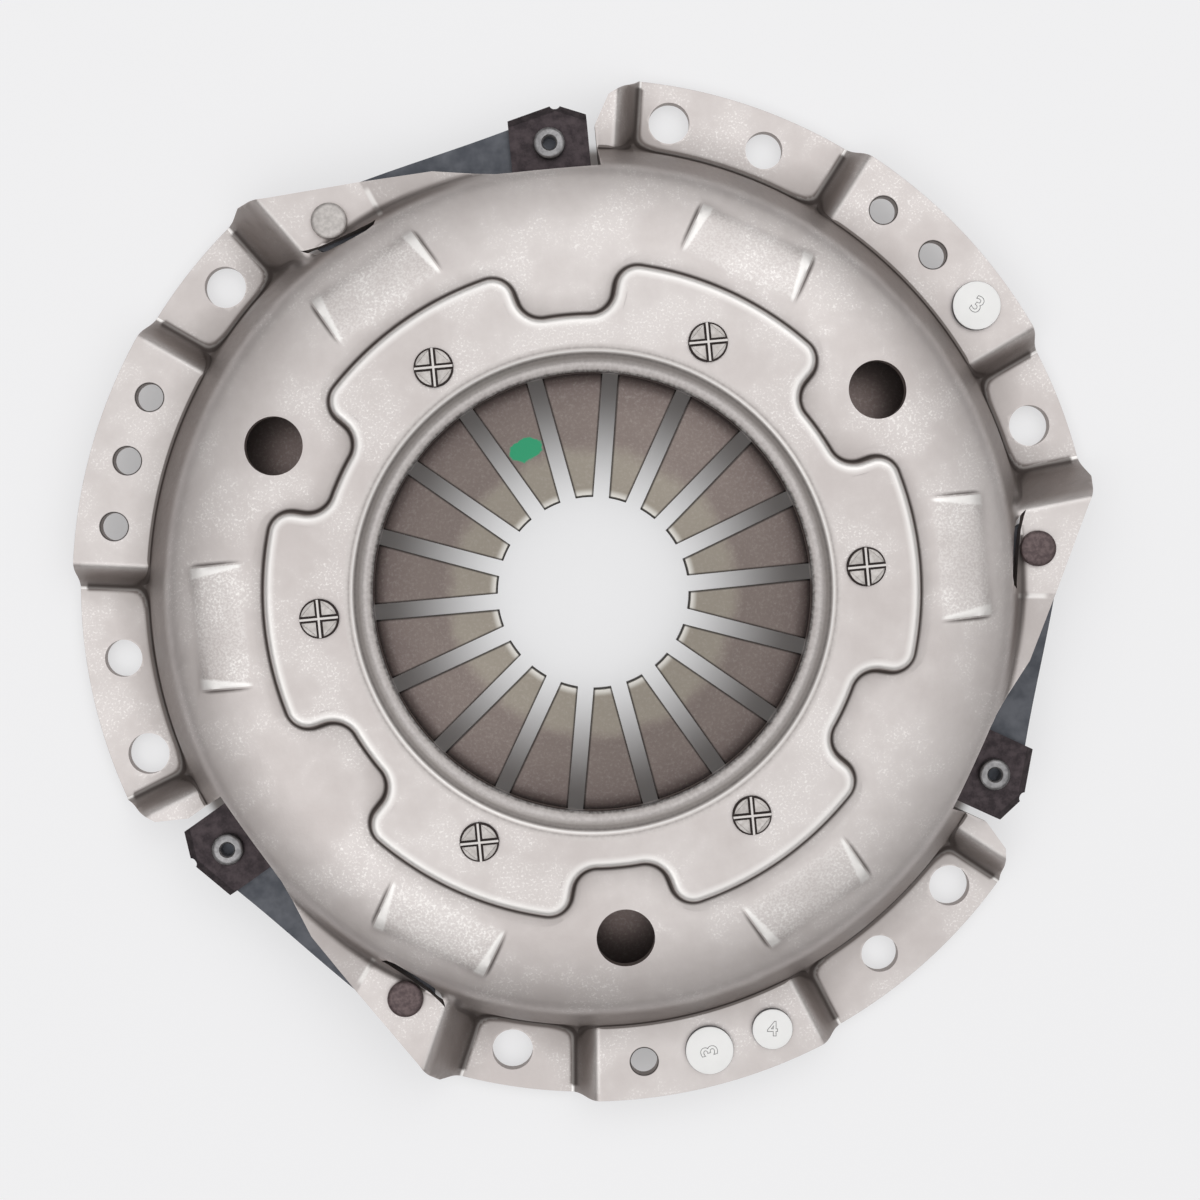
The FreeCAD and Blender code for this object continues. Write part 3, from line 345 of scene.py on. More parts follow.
def notch_outline():
    """Dense points from a notch's middle to a lobe's: floor, fillet, flared side, fillet, lobe."""
    flare = math.radians(16.0)
    along = np.array([math.cos(flare), math.sin(flare)])
    inward = np.array([math.sin(flare), -math.cos(flare)])
    on_side = np.array([61.3, 10.3])
    inner_bend, outer_bend = 5.2, 4.6

    def centre(offset, distance):
        base = on_side + offset * inward
        half = base @ along
        return base + along * (-half + math.sqrt(half ** 2 - base @ base + distance ** 2))

    def arc(middle, radius, first, last, count):
        turn = np.linspace(first, last, count)
        return np.stack([middle[0] + radius * np.cos(turn), middle[1] + radius * np.sin(turn)], axis=1)

    low = centre(inner_bend, NOTCH_FLOOR + inner_bend)
    high = centre(-outer_bend, PLATFORM_RADIUS - outer_bend)
    low_turn, high_turn = math.atan2(low[1], low[0]), math.atan2(high[1], high[0])
    square = math.atan2(-inward[1], -inward[0])
    side_from, side_to = low - inner_bend * inward, high + outer_bend * inward
    straight = side_from + (side_to - side_from) * np.linspace(0, 1, 40)[1:-1, None]
    return np.concatenate([
        arc((0, 0), NOTCH_FLOOR, 0.0, low_turn, 160)[:-1],
        arc(low, inner_bend, low_turn + math.pi, square, 160),
        straight,
        arc(high, outer_bend, square - math.pi, high_turn, 160),
        arc((0, 0), PLATFORM_RADIUS, high_turn, math.radians(30.0), 300)[1:],
    ])


def turned_by(points, angle):
    """Points of the plane turned about the axis."""
    x, y = points[:, 0], points[:, 1]
    sine, cosine = math.sin(angle), math.cos(angle)
    return np.stack([x * cosine - y * sine, x * sine + y * cosine], axis=1)


# Columns stand evenly along the platform's outline, and closer at its corners.
half = notch_outline()
walk = np.hypot(*np.diff(half, axis=0).T)
heading = np.unwrap(np.arctan2(*np.diff(half, axis=0).T[::-1]))
bending = np.abs(np.gradient(heading)) / walk
cost = np.concatenate([[0.0], np.cumsum(walk * (0.75 + np.minimum(bending, 0.25) * 4.5))])
per_half = COLUMNS // 12
share = np.linspace(0.0, cost[-1], per_half + 1)
picked = np.stack([np.interp(share, cost, half[:, axis]) for axis in (0, 1)], axis=1)
picked = turned_by(picked, math.radians(-30.0))
lobe = np.concatenate([picked, picked[-2:0:-1] * (1, -1)])
outline = np.concatenate([turned_by(lobe, math.radians(60.0 * (index + 1))) for index in range(6)])
outline_angle = np.unwrap(np.arctan2(outline[:, 1], outline[:, 0]))
outward = np.roll(outline, -1, axis=0) - np.roll(outline, 1, axis=0)
outward = np.stack([outward[:, 1], -outward[:, 0]], axis=1) / np.hypot(outward[:, 0], outward[:, 1])[:, None]

# Round the pads the columns spread out again, apart from the two at each pad's ends.
start_angle = outline_angle[0]
even_angle = start_angle + 2 * np.pi * np.arange(COLUMNS) / COLUMNS
pad_end = math.degrees(math.asin(PAD_HALF / 76.0))  # at the pads' middle radius
lobe_turn = np.degrees(outline_angle[:2 * per_half]) - 60.0
end_column = int(np.argmin(np.abs(lobe_turn - pad_end)))
before = np.linspace(-30.0, -pad_end, 2 * per_half - end_column + 1)
on_pad = np.linspace(-pad_end, pad_end, 2 * (end_column - per_half) + 1)
after = np.linspace(pad_end, 30.0, 2 * per_half - end_column + 1)
one_lobe = np.concatenate([before[:-1], on_pad[:-1], after[:-1]])
pad_angle = np.radians(np.concatenate([one_lobe + 60.0 * (index + 1) for index in range(6)]))

# Round the flange they crowd at its folds: each fold's angle, the crowd's reach, and how dense it is.
fine = np.linspace(0.0, 120.0, 4801)
crowding = np.ones_like(fine)
folds = ((24.0, 2.0, 1.6), (53.0, 2.0, 1.6), (80.2, 2.0, 1.6), (7.0, 3.0, 1.6), (114.0, 1.5, 0.8))
for middle, spread, amount in folds:
    crowding += amount * np.exp(-(((fine - middle + 60.0) % 120.0 - 60.0) / spread) ** 2)
travel = np.concatenate(([0.0], np.cumsum((crowding[1:] + crowding[:-1]) / 2)))
columns = np.arange(COLUMNS // 3 + 1) / (COLUMNS // 3)
lead = np.interp(30.0, fine, travel) / travel[-1]
one_third = np.interp((columns[:-1] + lead) % 1.0 * travel[-1], travel, fine)
one_third = np.degrees(np.unwrap(np.radians(one_third * 3))) / 3
flange_angle = np.radians(np.concatenate([one_third, one_third + 120.0, one_third + 240.0]))


def angles_at(radius):
    """Where the columns stand on a circle."""
    share = float(ease(radius, 82.0, 91.0))
    return even_angle if radius < 60.0 else pad_angle * (1 - share) + flange_angle * share


rows = []


def round_row(radius, height=None, depth=0.0):
    """A row of the sheet on a circle."""
    angle = angles_at(radius)
    r = np.full(COLUMNS, radius)
    z = cover_height(r, np.degrees(angle), depth) if height is None else np.full(COLUMNS, height)
    rows.append(np.stack([r * np.cos(angle), r * np.sin(angle), z], axis=1))


def outline_row(offset, height):
    """A row that keeps beside the platform's outline."""
    place = outline + outward * offset
    rows.append(np.column_stack([place, np.full(COLUMNS, height)]))


# From the opening's edge over its lip to the platform, and over the platform's rim down to the dish.
for radius, height in ((OPENING, 30.4), (44.62, 30.82), (44.95, LIP), (46.2, LIP), (46.75, 31.12),
                       (47.5, 31.8), (48.2, 32.45), (48.75, 32.88), (49.4, PLATFORM), (50.6, PLATFORM)):
    round_row(radius, height)
outline_row(-PLATFORM_RIM - 1.0, PLATFORM)
near, far = rows[-2:]
rows[-1:] = [near * 0.67 + far * 0.33, near * 0.33 + far * 0.67, far]
rim_row = len(rows)
outline_row(-PLATFORM_RIM, PLATFORM)
for share in (0.2, 0.4, 0.58, 0.74, 0.88, 1.0):
    turn = math.radians(84.0) * share
    outline_row(-PLATFORM_RIM + PLATFORM_RIM * math.sin(turn), PLATFORM - PLATFORM_RIM * (1 - math.cos(turn)))
for offset, height in ((0.12, 30.5), (0.3, 30.0), (0.62, 29.68), (1.1, 29.54), (1.9, DISH)):
    outline_row(offset, height)

# Three rows pass from the platform's outline to the first circle of the crown, and circles follow.
last_edge = rows[-1]
first_circle = 70.0
angle = angles_at(first_circle)
meet = np.column_stack([first_circle * np.cos(angle), first_circle * np.sin(angle), np.zeros(COLUMNS)])
for share in (0.3, 0.65, 1.0):
    row = last_edge * (1 - share) + meet * share
    row[:, 2] = crown_height(np.hypot(row[:, 0], row[:, 1]), 0.0)
    rows.append(row)
pad_rows = len(rows)
for radius in (70.5, 71.5, 73.0, 74.6, 76.2, 77.8, 79.4, 80.6, 81.4, 82.0, 82.8,
               83.8, 84.9, 85.9, 86.8, 87.5, 88.1, 88.7, 89.3, 89.9, 90.5, 91.1, 91.7, 92.3, 92.8,
               93.1, 93.4, 93.7, 94.0, 94.3, 94.6, 94.9, 95.3, 95.9, 96.6, 97.4, 98.3, 99.3,
               100.5, 101.8, 103.2, 104.7, 106.2, 107.6, 108.6, 109.15, 109.4, OUTSIDE):
    round_row(radius)
EDGE_FALL = 0.3
rows[-1][:, 2] -= EDGE_FALL
top_rows = len(rows)

# The pads: each keeps the crown's section straight across, so its two ends stand a little proud.
# The columns near a pad's ends are moved, so that two of them run along the ends.
PAD_ROWS = 11
for row in rows[pad_rows:pad_rows + PAD_ROWS]:
    r = np.hypot(row[:, 0], row[:, 1])
    degrees = np.degrees(angles_at(float(r[0])))
    turn = (degrees + 30.0) % 60.0 - 30.0
    pad_stop = np.degrees(np.arcsin(PAD_HALF / r))
    strength = ease(19.0 - np.abs(turn), 0.0, 8.0) * ease(r, 69.6, 71.2)
    shifted = turn * (1 + (pad_stop / pad_end - 1) * strength)
    place = np.radians(degrees + shifted - turn)
    row[:, 0] = r * np.cos(place)
    row[:, 1] = r * np.sin(place)
    straight = r * np.cos(np.radians(shifted))
    fade = ease(straight, PAD_INNER - 0.3, PAD_INNER + 2.0)
    fade = fade * ease(-straight, -PAD_OUTER - 0.3, -PAD_OUTER + 2.0)
    fade = np.where(np.abs(shifted) < pad_stop + 0.05, fade, 0.0)
    row[:, 2] = row[:, 2] * (1 - fade) + (crown_height(straight, 0.0) + PAD_RISE) * fade

# The underside, from the outer edge back to the opening.
for radius in (OUTSIDE, 109.3, 108.0, 106.0, 104.0, 102.0, 100.0, 98.6, 97.3, 96.2, 95.2, 94.2, 93.2, 92.5,
               91.9, 91.4, 90.9, 90.3, 89.7, 89.2, 88.2, 87.2, 86.4, 85.6, 84.6, 83.4, 81.8, 79.4, 76.5,
               73.5, 71.0):
    round_row(radius, depth=STEEL)
for offset, height in ((2.5, 26.5), (0.0, 26.6), (-1.5, 27.4), (-2.6, 29.2), (-3.4, 29.95)):
    outline_row(offset, height)
for radius, height in ((50.5, 30.0), (48.9, 29.6), (47.3, 28.4), (45.4, 28.05), (OPENING, 28.3)):
    round_row(radius, height)

profile = bmesh.new()
section = [profile.verts.new(Vector(row[0]) * MM) for row in rows]
for first, second in zip(section, section[1:] + section[:1]):
    profile.edges.new((first, second))
bmesh.ops.spin(profile, geom=profile.verts[:] + profile.edges[:], cent=(0, 0, 0), axis=(0, 0, 1),
               angle=math.tau, steps=COLUMNS, use_merge=True)
profile.verts.ensure_lookup_table()
grid = np.stack(rows, axis=1) * MM
for index, vertex in enumerate(profile.verts):
    column, row = divmod(index, len(rows))
    vertex.co = Vector(grid[column % COLUMNS, row])
bmesh.ops.recalc_face_normals(profile, faces=profile.faces)

# How sharply the sheet bends at each vertex: above zero on ridges, which get a painted highlight, and below
# in creases, which get painted shade. The rows of the platform's rim, which are the same all round, have
# their bends set.
along_rows = np.roll(grid, -1, axis=0) - np.roll(grid, 1, axis=0)
across_rows = np.roll(grid, -1, axis=1) - np.roll(grid, 1, axis=1)
normal = np.cross(across_rows, along_rows)
normal /= np.linalg.norm(normal, axis=2)[:, :, None] + 1e-12


def bending_along(axis):
    """The curvature of the grid along its rows or its columns."""
    ahead = np.roll(grid, -1, axis=axis) - grid
    behind = grid - np.roll(grid, 1, axis=axis)
    far, near = np.linalg.norm(ahead, axis=2), np.linalg.norm(behind, axis=2)
    second = (ahead / far[:, :, None] - behind / near[:, :, None]) * 2 / (far + near)[:, :, None]
    return -np.einsum("ijk,ijk->ij", second, normal)


bend = (bending_along(0) + bending_along(1)) * MM
for repeat in range(2):
    bend = (np.roll(bend, 1, axis=0) + np.roll(bend, -1, axis=0) + np.roll(bend, 1, axis=1)
            + np.roll(bend, -1, axis=1) + 2 * bend) / 6
bend = np.clip(bend * 1.6, -1.0, 1.0)
bend[:, :rim_row - 3] = 0.0
rim_bends = [0, 0.2, 0.2, 0.6, 1, 1, 0.5, -0.4, -1, -1, -1, -0.8, -0.4, -0.1, 0, 0, 0, 0]
bend[:, rim_row - 3:pad_rows] = rim_bends
RIDGE_SHARE = 0.55
bend[:, pad_rows:] = np.minimum(bend[:, pad_rows:], bend[:, pad_rows:] * RIDGE_SHARE)
bend[:, top_rows - 4:] = 0.0

# How much of the sky the walls beside each vertex hide, from the heights around it.
CELL, SIDE, DIRECTIONS = 0.5, 460, 16
upper = grid[:, :top_rows].reshape(-1, 3) / MM
column, line = (upper[:, :2].T / CELL + SIDE / 2).astype(int)
heights = np.full((SIDE, SIDE), np.nan)
heights[line, column] = upper[:, 2]
for repeat in range(3):
    beside = np.stack([np.roll(heights, step, axis=axis) for axis in (0, 1) for step in (-1, 1)])
    known = np.isfinite(beside)
    mean = np.where(known, beside, 0.0).sum(axis=0) / np.maximum(known.sum(axis=0), 1)
    heights = np.where(np.isnan(heights) & known.any(axis=0), mean, heights)
heights = np.nan_to_num(heights, nan=0.0)
hidden = np.zeros(len(upper))
for turn in np.arange(DIRECTIONS) * math.tau / DIRECTIONS:
    horizon = np.zeros(len(upper))
    for reach in (0.7, 1.2, 1.8, 2.6, 3.6, 5.0, 7.0, 10.0):
        beyond = upper[:, :2] + reach * np.array([math.cos(turn), math.sin(turn)])
        column, line = np.clip(beyond.T / CELL + SIDE / 2, 0, SIDE - 1).astype(int)
        horizon = np.maximum(horizon, (heights[line, column] - upper[:, 2]) / reach)
    hidden += horizon ** 2 / (1 + horizon ** 2) / DIRECTIONS
hollow = np.zeros(grid.shape[:2])  # nothing is hidden on the underside
hollow[:, :top_rows] = hidden.reshape(COLUMNS, top_rows)

cover_mesh = bpy.data.meshes.new("pressed_cover")
for name in ("bend", "occlusion"):
    profile.verts.layers.float.new(name)
bend_layer, occlusion_layer = [profile.verts.layers.float[name] for name in ("bend", "occlusion")]
for index, vertex in enumerate(profile.verts):
    column, row = divmod(index, len(rows))
    vertex[bend_layer] = float(bend[column % COLUMNS, row])
    vertex[occlusion_layer] = float(hollow[column % COLUMNS, row])
profile.to_mesh(cover_mesh)
profile.free()
cover = bpy.data.objects.new("pressed_cover", cover_mesh)
bpy.context.scene.collection.objects.link(cover)


def piece_from(shape, name, body, replaced=(), smooth=30.0):
    """Finish a piece of mesh: smooth it, let it ride on its body, and hide the CAD parts it stands for."""
    mesh = bpy.data.meshes.new(name)
    shape.to_mesh(mesh)
    shape.free()
    piece = bpy.data.objects.new(name, mesh)
    bpy.context.scene.collection.objects.link(piece)
    mesh.shade_smooth()
    mesh.set_sharp_from_angle(angle=math.radians(smooth))
    if body:
        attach(piece, body)
    if replaced:
        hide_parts(*replaced)
    return piece


def turn_about_z(shape, verts, angle):
    bmesh.ops.rotate(shape, verts=verts, cent=(0, 0, 0), matrix=Matrix.Rotation(angle, 3, "Z"))


def to_metres(shape):
    bmesh.ops.scale(shape, verts=shape.verts, vec=(MM, MM, MM))


def on_circle(radius, degrees):
    """A place on a circle about the axis."""
    return radius * math.cos(math.radians(degrees)), radius * math.sin(math.radians(degrees))


def beside_lug(radial, sideways, degrees):
    """A place beside a lug, from its radius and its distance to one side."""
    sine, cosine = math.sin(math.radians(degrees)), math.cos(math.radians(degrees))
    return radial * cosine - sideways * sine, radial * sine + sideways * cosine


def peg(shape, x, y, radius, low, high, around=64):
    """A round cutter that stands on a place of the cover."""
    made = bmesh.ops.create_cone(shape, cap_ends=True, segments=around, radius1=radius, radius2=radius,
                                 depth=high - low)
    bmesh.ops.translate(shape, verts=made["verts"], vec=(x, y, (low + high) / 2))


def prism(shape, corners, low, high):
    """An upright cutter from the corners of its outline."""
    face = shape.faces.new([shape.verts.new((x, y, low)) for x, y in corners])
    raised = bmesh.ops.extrude_face_region(shape, geom=[face])
    moved = [item for item in raised["geom"] if isinstance(item, bmesh.types.BMVert)]
    bmesh.ops.translate(shape, verts=moved, vec=(0, 0, high - low))


def tool_from(shape, name):
    """An object to cut with, brought to metres."""
    to_metres(shape)
    mesh = bpy.data.meshes.new(name)
    shape.to_mesh(mesh)
    shape.free()
    tool = bpy.data.objects.new(name, mesh)
    bpy.context.scene.collection.objects.link(tool)
    return tool


# The outline beside each boss and lug, as radius and angle from the boss or as distances from the lug's axis,
# and the slit that is lanced at the boss's inner side.
BOSS_EDGE = ((113.5, 10.2), (105.5, 4.3), (97.3, -5.7), (92.6, -14.5), (87.75, -22.5))
HEEL_EDGE = ((87.0, -10.0), (97.6, -10.0), (103.8, -13.5), (118.5, -42.4))
OUTER_CORNERS = ((200.0, -40.0), (200.0, 0.0))
SLIT = ((92.5, 5.2), (91.8, 4.4), (90.7, 2.7), (89.8, 0.4), (88.95, -2.0), (88.4, -4.4), (88.5, -5.2),
        (87.5, -4.6), (87.2, -3.4), (87.35, -2.0), (87.75, 0.0), (88.65, 2.3), (89.7, 3.7), (91.4, 4.75))
PIVOT_HOLE, BOLT_HOLE, DOWEL_HOLE, STRAP_HOLE, DISH_HOLE, BALANCE_HOLE = 2.95, 4.4, 4.0, 2.55, 6.0, 2.9
BOLT_ANGLE, DOWEL_ANGLE, DISH_HOLE_ANGLE, BALANCE_ANGLE, BALANCE_STEP = 15.0, 63.0, 30.0, 31.0, 8.0
cutters = bmesh.new()
for index in range(6):
    peg(cutters, *on_circle(PIVOT_CIRCLE, 60.0 * index), PIVOT_HOLE, 20, 40, 32)
    peg(cutters, *on_circle(BOLT_CIRCLE, 60.0 * index + BOLT_ANGLE), BOLT_HOLE, -5, 20)
for sector in range(3):
    base = 120.0 * sector
    peg(cutters, *on_circle(BOLT_CIRCLE, base + DOWEL_ANGLE), DOWEL_HOLE, -5, 20)
    peg(cutters, *on_circle(STRAP_CIRCLE, base), STRAP_HOLE, 5, 30, 32)
    peg(cutters, *on_circle(DISH_HOLE_CIRCLE, base + DISH_HOLE_ANGLE), DISH_HOLE, 15, 40)
    for step in range(3):
        place = on_circle(BOLT_CIRCLE, base + BALANCE_ANGLE + BALANCE_STEP * step)
        peg(cutters, *place, BALANCE_HOLE, -5, 20, 48)
    corners = [on_circle(radius, base + degrees) for radius, degrees in BOSS_EDGE]
    corners += [beside_lug(radial, sideways, base - 30.0) for radial, sideways in HEEL_EDGE]
    corners += [on_circle(radius, base + degrees) for radius, degrees in OUTER_CORNERS]
    prism(cutters, corners, -10, 50)
    prism(cutters, [on_circle(radius, base + degrees) for radius, degrees in SLIT], 11, 40)
bmesh.ops.recalc_face_normals(cutters, faces=cutters.faces)
cutter = tool_from(cutters, "cover_cutters")


def cut_from(piece, tool):
    """Cut a tool out of a piece for good, and remove the tool."""
    hole = piece.modifiers.new("holes", "BOOLEAN")
    hole.operation = "DIFFERENCE"
    hole.solver = "EXACT"
    hole.object = tool
    bpy.context.view_layer.update()
    graph = bpy.context.evaluated_depsgraph_get()
    result = bpy.data.meshes.new_from_object(piece.evaluated_get(graph))
    piece.modifiers.clear()
    piece.data = result
    bpy.data.objects.remove(tool)


cut_from(cover, cutter)
cover.data.name = "pressed_cover"
cover.data.shade_smooth()
cover.data.set_sharp_from_angle(angle=math.radians(42.0))
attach(cover, "cover_assembly")
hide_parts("cover")

# Its finish: dull pressed steel with flecks and clouds, with painted shade where it is steep and where walls
# hide the sky over it.
cover_finish, shader, place = new_finish("cover_steel", Metallic=0.85, Specular_IOR_Level=0.5)
grain = place.noise(0.0005, 4.0, 0.65)
patches = place.noise(0.012, 4.0, 0.6)
clouds = place.noise(0.05, 2.0, 0.5)
x, y, z = [place.axis(index) for index in (0, 1, 2)]
radius = (x * x + y * y) ** 0.5
angle = place.angle_about_z()
facing = place.add("ShaderNodeNewGeometry", {}, {}, "Normal").axis(2)
fleck = grain.step(0.52, 0.64) * patches.step(0.46, 0.60)
tone = patches * 0.5 + clouds * 0.5
colour = tone.step(0.3, 0.7).blend((0.56, 0.515, 0.50), (0.69, 0.65, 0.635))
colour = (fleck * 0.7).blend(colour, (0.86, 0.83, 0.81))
# Painted shade: steep faces are darker.
colour = facing.step(0.2, 0.95).blend((0.36, 0.315, 0.295), colour)
# Painted shade: darker where the walls around hide the sky.
occlusion = place.add("ShaderNodeAttribute", {"attribute_name": "occlusion"}, {}, "Fac")
colour = ((occlusion - 0.07) * 1.25).least(0.8).blend(colour, (0.10, 0.08, 0.072))

# Painted highlights: on the pads and their ends, the ridges, a line where the sheet leaves each seat, and a
# line along the fold where each boss starts; the pads' sheen is broken up by the grain.
from_pad = ((angle / math.radians(60.0) + 0.5).fraction() - 0.5) * math.radians(60.0)
across = (radius * from_pad.sine()).absolute()
straight = radius * from_pad.cosine()
on_pad = straight.step(0.0701, 0.0716) * (1.0 - straight.step(0.0806, 0.0818))
wedge = 0.0003 + (straight - 0.0701) * 0.16
end_shine = on_pad * (across + wedge).step(0.0119, 0.0126) * (1.0 - across.step(0.01235, 0.0125))
pad_shine = on_pad * (1.0 - across.step(0.0115, 0.0125)) * grain.step(0.4, 0.62) * 0.35
bend = place.add("ShaderNodeAttribute", {"attribute_name": "bend"}, {}, "Fac")
from_boss = ((angle / math.radians(120.0) + 0.5).fraction() - 0.5) * 120.0
past_boss = 1.0 - from_boss.step(-5.95, -5.6)
by_wall = radius.step(0.0885, 0.0895) * (1.0 - radius.step(0.0945, 0.0960))
boss_fold = past_boss * from_boss.step(-6.6, -6.2) * by_wall * 0.6
gusset = past_boss * from_boss.step(-24.0, -19.0) * radius.step(0.0865, 0.0885) * 0.35
off_seat = z.step(0.00301, 0.00304) * (1.0 - z.step(0.00312, 0.0033))
seat_line = off_seat * radius.step(0.086, 0.088) * patches.step(0.1, 0.5)
ridges = bend.step(0.15, 0.9) * 0.85
bright = (ridges + end_shine * 0.9 + pad_shine + seat_line * 0.9 + boss_fold).least(1.0)
# Painted shade over the gusset that climbs from each boss.
colour = gusset.blend(colour, (0.20, 0.17, 0.16))
colour = bright.blend(colour, (0.93, 0.91, 0.89))
# Painted shade in the creases.
colour = (bend.step(-0.12, -0.65) * 0.85).blend(colour, (0.09, 0.073, 0.066))

# Painted shade: a dark line round the edge of each of the nine balance holes.
# Its distance is counted in hole spacings from the middle one of the three in each third.
middle_hole = BALANCE_ANGLE + BALANCE_STEP
spacings = (angle / math.radians(120.0) - middle_hole / 120.0 + 0.5).fraction() - 0.5
spacings = spacings * (120.0 / BALANCE_STEP)
nearest = spacings.math("ROUND", spacings).most(-1.0).least(1.0)
sideways = (spacings - nearest) * math.radians(BALANCE_STEP) * (BOLT_CIRCLE * MM)
from_hole = (sideways ** 2 + (radius - BOLT_CIRCLE * MM) ** 2) ** 0.5
hole_edge = (1.0 - from_hole.step(0.0030, 0.00325)) * facing.step(0.5, 0.9)
colour = hole_edge.blend(colour, (0.03, 0.024, 0.022))

# The opening's lip is rough from the shears, with painted shadow as a dark line in the corner above it and a
# painted highlight on its bright edge.
streaks = place.noise(0.0008, 3.0, 0.7)
# Its bands are painted light and shade: dark walls and corners, a bright edge.
lip = ((radius - 0.0444) / 0.0062).ramp((
    (0.0, (0.05, 0.04, 0.04)),
    (0.08, (0.10, 0.09, 0.085)),
    (0.14, (0.34, 0.31, 0.30)),
    (0.27, (0.46, 0.43, 0.42)),
    (0.36, (0.40, 0.37, 0.36)),
    (0.45, (0.56, 0.52, 0.50)),
    (0.54, (0.55, 0.51, 0.49)),
    (0.60, (0.34, 0.31, 0.30)),
    (0.65, (0.62, 0.58, 0.56)),
    (0.69, (0.95, 0.93, 0.91)),
    (0.735, (0.66, 0.62, 0.60)),
    (0.79, (0.36, 0.33, 0.32)),
    (0.86, (0.54, 0.50, 0.485)),
    (1.0, (0.62, 0.585, 0.57)),
))
lip = (streaks.step(0.3, 0.7) * 0.25).blend(lip, (0.75, 0.72, 0.70))
on_lip = (1.0 - radius.step(0.0498, 0.0506)) * z.step(0.029, 0.0302)
colour = on_lip.blend(colour, lip)
colour.feed(shader, "Base Color")
(0.36 + grain * 0.16 - fleck * 0.1 + clouds * 0.08).feed(shader, "Roughness")
(grain * 0.6 + patches * 0.4).bump(shader, 0.00006, 0.6)
cover.data.materials.clear()
cover.data.materials.append(cover_finish)


# Diaphragm spring: one coned disc of spring steel, slotted into eighteen fingers. A ring stamped where the
# release bearing runs bends every tip flatter, and a dab of green paint marks one finger.
SPRING_LEVEL, SPRING_SHEET = 21.77, 2.2
SPRING_RADIUS, RING_CIRCLE, TIP_BEND, CURL_START, TIP = 79.5, 60.2, 30.0, 21.5, 19.3
CONE, TIP_CONE = math.radians(15.6), math.radians(10.4)
FINGERS, SLOT_WIDTH, SLOT_EYE = 18, 3.2, 3.9


def leaf_height(r):
    """The middle of the spring's sheet at a radius."""
    outer = SPRING_LEVEL + (RING_CIRCLE - r) * math.tan(CONE)
    inner = SPRING_LEVEL + (RING_CIRCLE - TIP_BEND) * math.tan(CONE) + (TIP_BEND - r) * math.tan(TIP_CONE)
    curl = (CURL_START - r) ** 2 * 0.05 if r < CURL_START else 0.0
    return (inner if r < TIP_BEND else outer) - curl


half_sheet = SPRING_SHEET / 2 / math.cos(CONE)
spring_rows = []
for radius in (SPRING_RADIUS, 79.1, 70.0, 60.0, 50.0, 40.0, 34.0, 31.0, 30.2, 29.6, 28.0, 24.0, CURL_START,
               20.4, 19.7):
    spring_rows.append((radius, leaf_height(radius) + half_sheet))
spring_rows.append((TIP, leaf_height(TIP) + half_sheet - 0.5))
for radius in (TIP, CURL_START, TIP_BEND, 50.0, SPRING_RADIUS):
    spring_rows.append((radius, leaf_height(radius) - half_sheet))
shape = bmesh.new()
ends = [shape.verts.new((radius * MM, 0, height * MM)) for radius, height in spring_rows]
for first, second in zip(ends, ends[1:] + ends[:1]):
    shape.edges.new((first, second))
bmesh.ops.spin(shape, geom=shape.verts[:] + shape.edges[:], cent=(0, 0, 0), axis=(0, 0, 1), angle=math.tau,
               steps=216, use_merge=True)
bmesh.ops.recalc_face_normals(shape, faces=shape.faces)
spring = piece_from(shape, "spring_leaf", "cover_assembly", ["diaphragm_spring"])
slots = bmesh.new()
eyes = bmesh.new()
for index in range(FINGERS):
    degrees = 360.0 / FINGERS * index
    made = bmesh.ops.create_cube(slots, size=1.0)
    bmesh.ops.scale(slots, verts=made["verts"], vec=(46.0, SLOT_WIDTH, 60.0))
    bmesh.ops.translate(slots, verts=made["verts"], vec=(32.0, 0, 20.0))
    turn_about_z(slots, made["verts"], math.radians(degrees))
    peg(eyes, *on_circle(PIVOT_CIRCLE, degrees), SLOT_EYE, -5, 50, 32)
cut_from(spring, tool_from(slots, "slots"))
cut_from(spring, tool_from(eyes, "eyes"))
spring.data.name = "spring_leaf"
spring.data.shade_smooth()
spring.data.set_sharp_from_angle(angle=math.radians(30.0))

spring_finish, shader, place = new_finish("spring_steel", Metallic=0.8)
flat = place.add("ShaderNodeVectorMath", {"operation": "MULTIPLY"}, {0: place, 1: (1.0, 1.0, 0.0)})
radius = flat.length()
speckle = place.noise(0.0006, 3.0, 0.7)
blotches = place.noise(0.009, 4.0, 0.6)
# Painted shadow: the fingers darken outward, under the cover's lip, with a ragged edge; their tips are
# lighter.
ragged = radius + (blotches - 0.5) * 0.006
colour = ragged.step(0.027, 0.031).blend((0.28, 0.25, 0.21), (0.21, 0.172, 0.157))
colour = ragged.step(0.034, 0.046).blend(colour, (0.16, 0.126, 0.119))
colour = radius.step(0.0212, 0.0198).blend(colour, (0.62, 0.60, 0.56))
colour = (speckle.step(0.45, 0.8) * 0.25).blend(colour, (0.45, 0.42, 0.39))

# The dab of paint: an oval with a ragged edge, whose height on the piece doesn't count.
dab = place.add("ShaderNodeVectorMath", {"operation": "SUBTRACT"}, {0: place, 1: (-0.0109, 0.0300, 0.0)})
oval = {"Vector": dab, "Rotation": (0, 0, 0.28), "Scale": (1.0, 0.66, 1000.0)}
from_dab = dab.add("ShaderNodeMapping", {"vector_type": "TEXTURE"}, oval).length()
from_dab = from_dab + (place.noise(0.0012, 3.0, 0.6) - 0.5) * 0.002
paint = 1.0 - from_dab.step(0.0032, 0.0037)
colour = paint.blend(colour, (0.008, 0.33, 0.15))

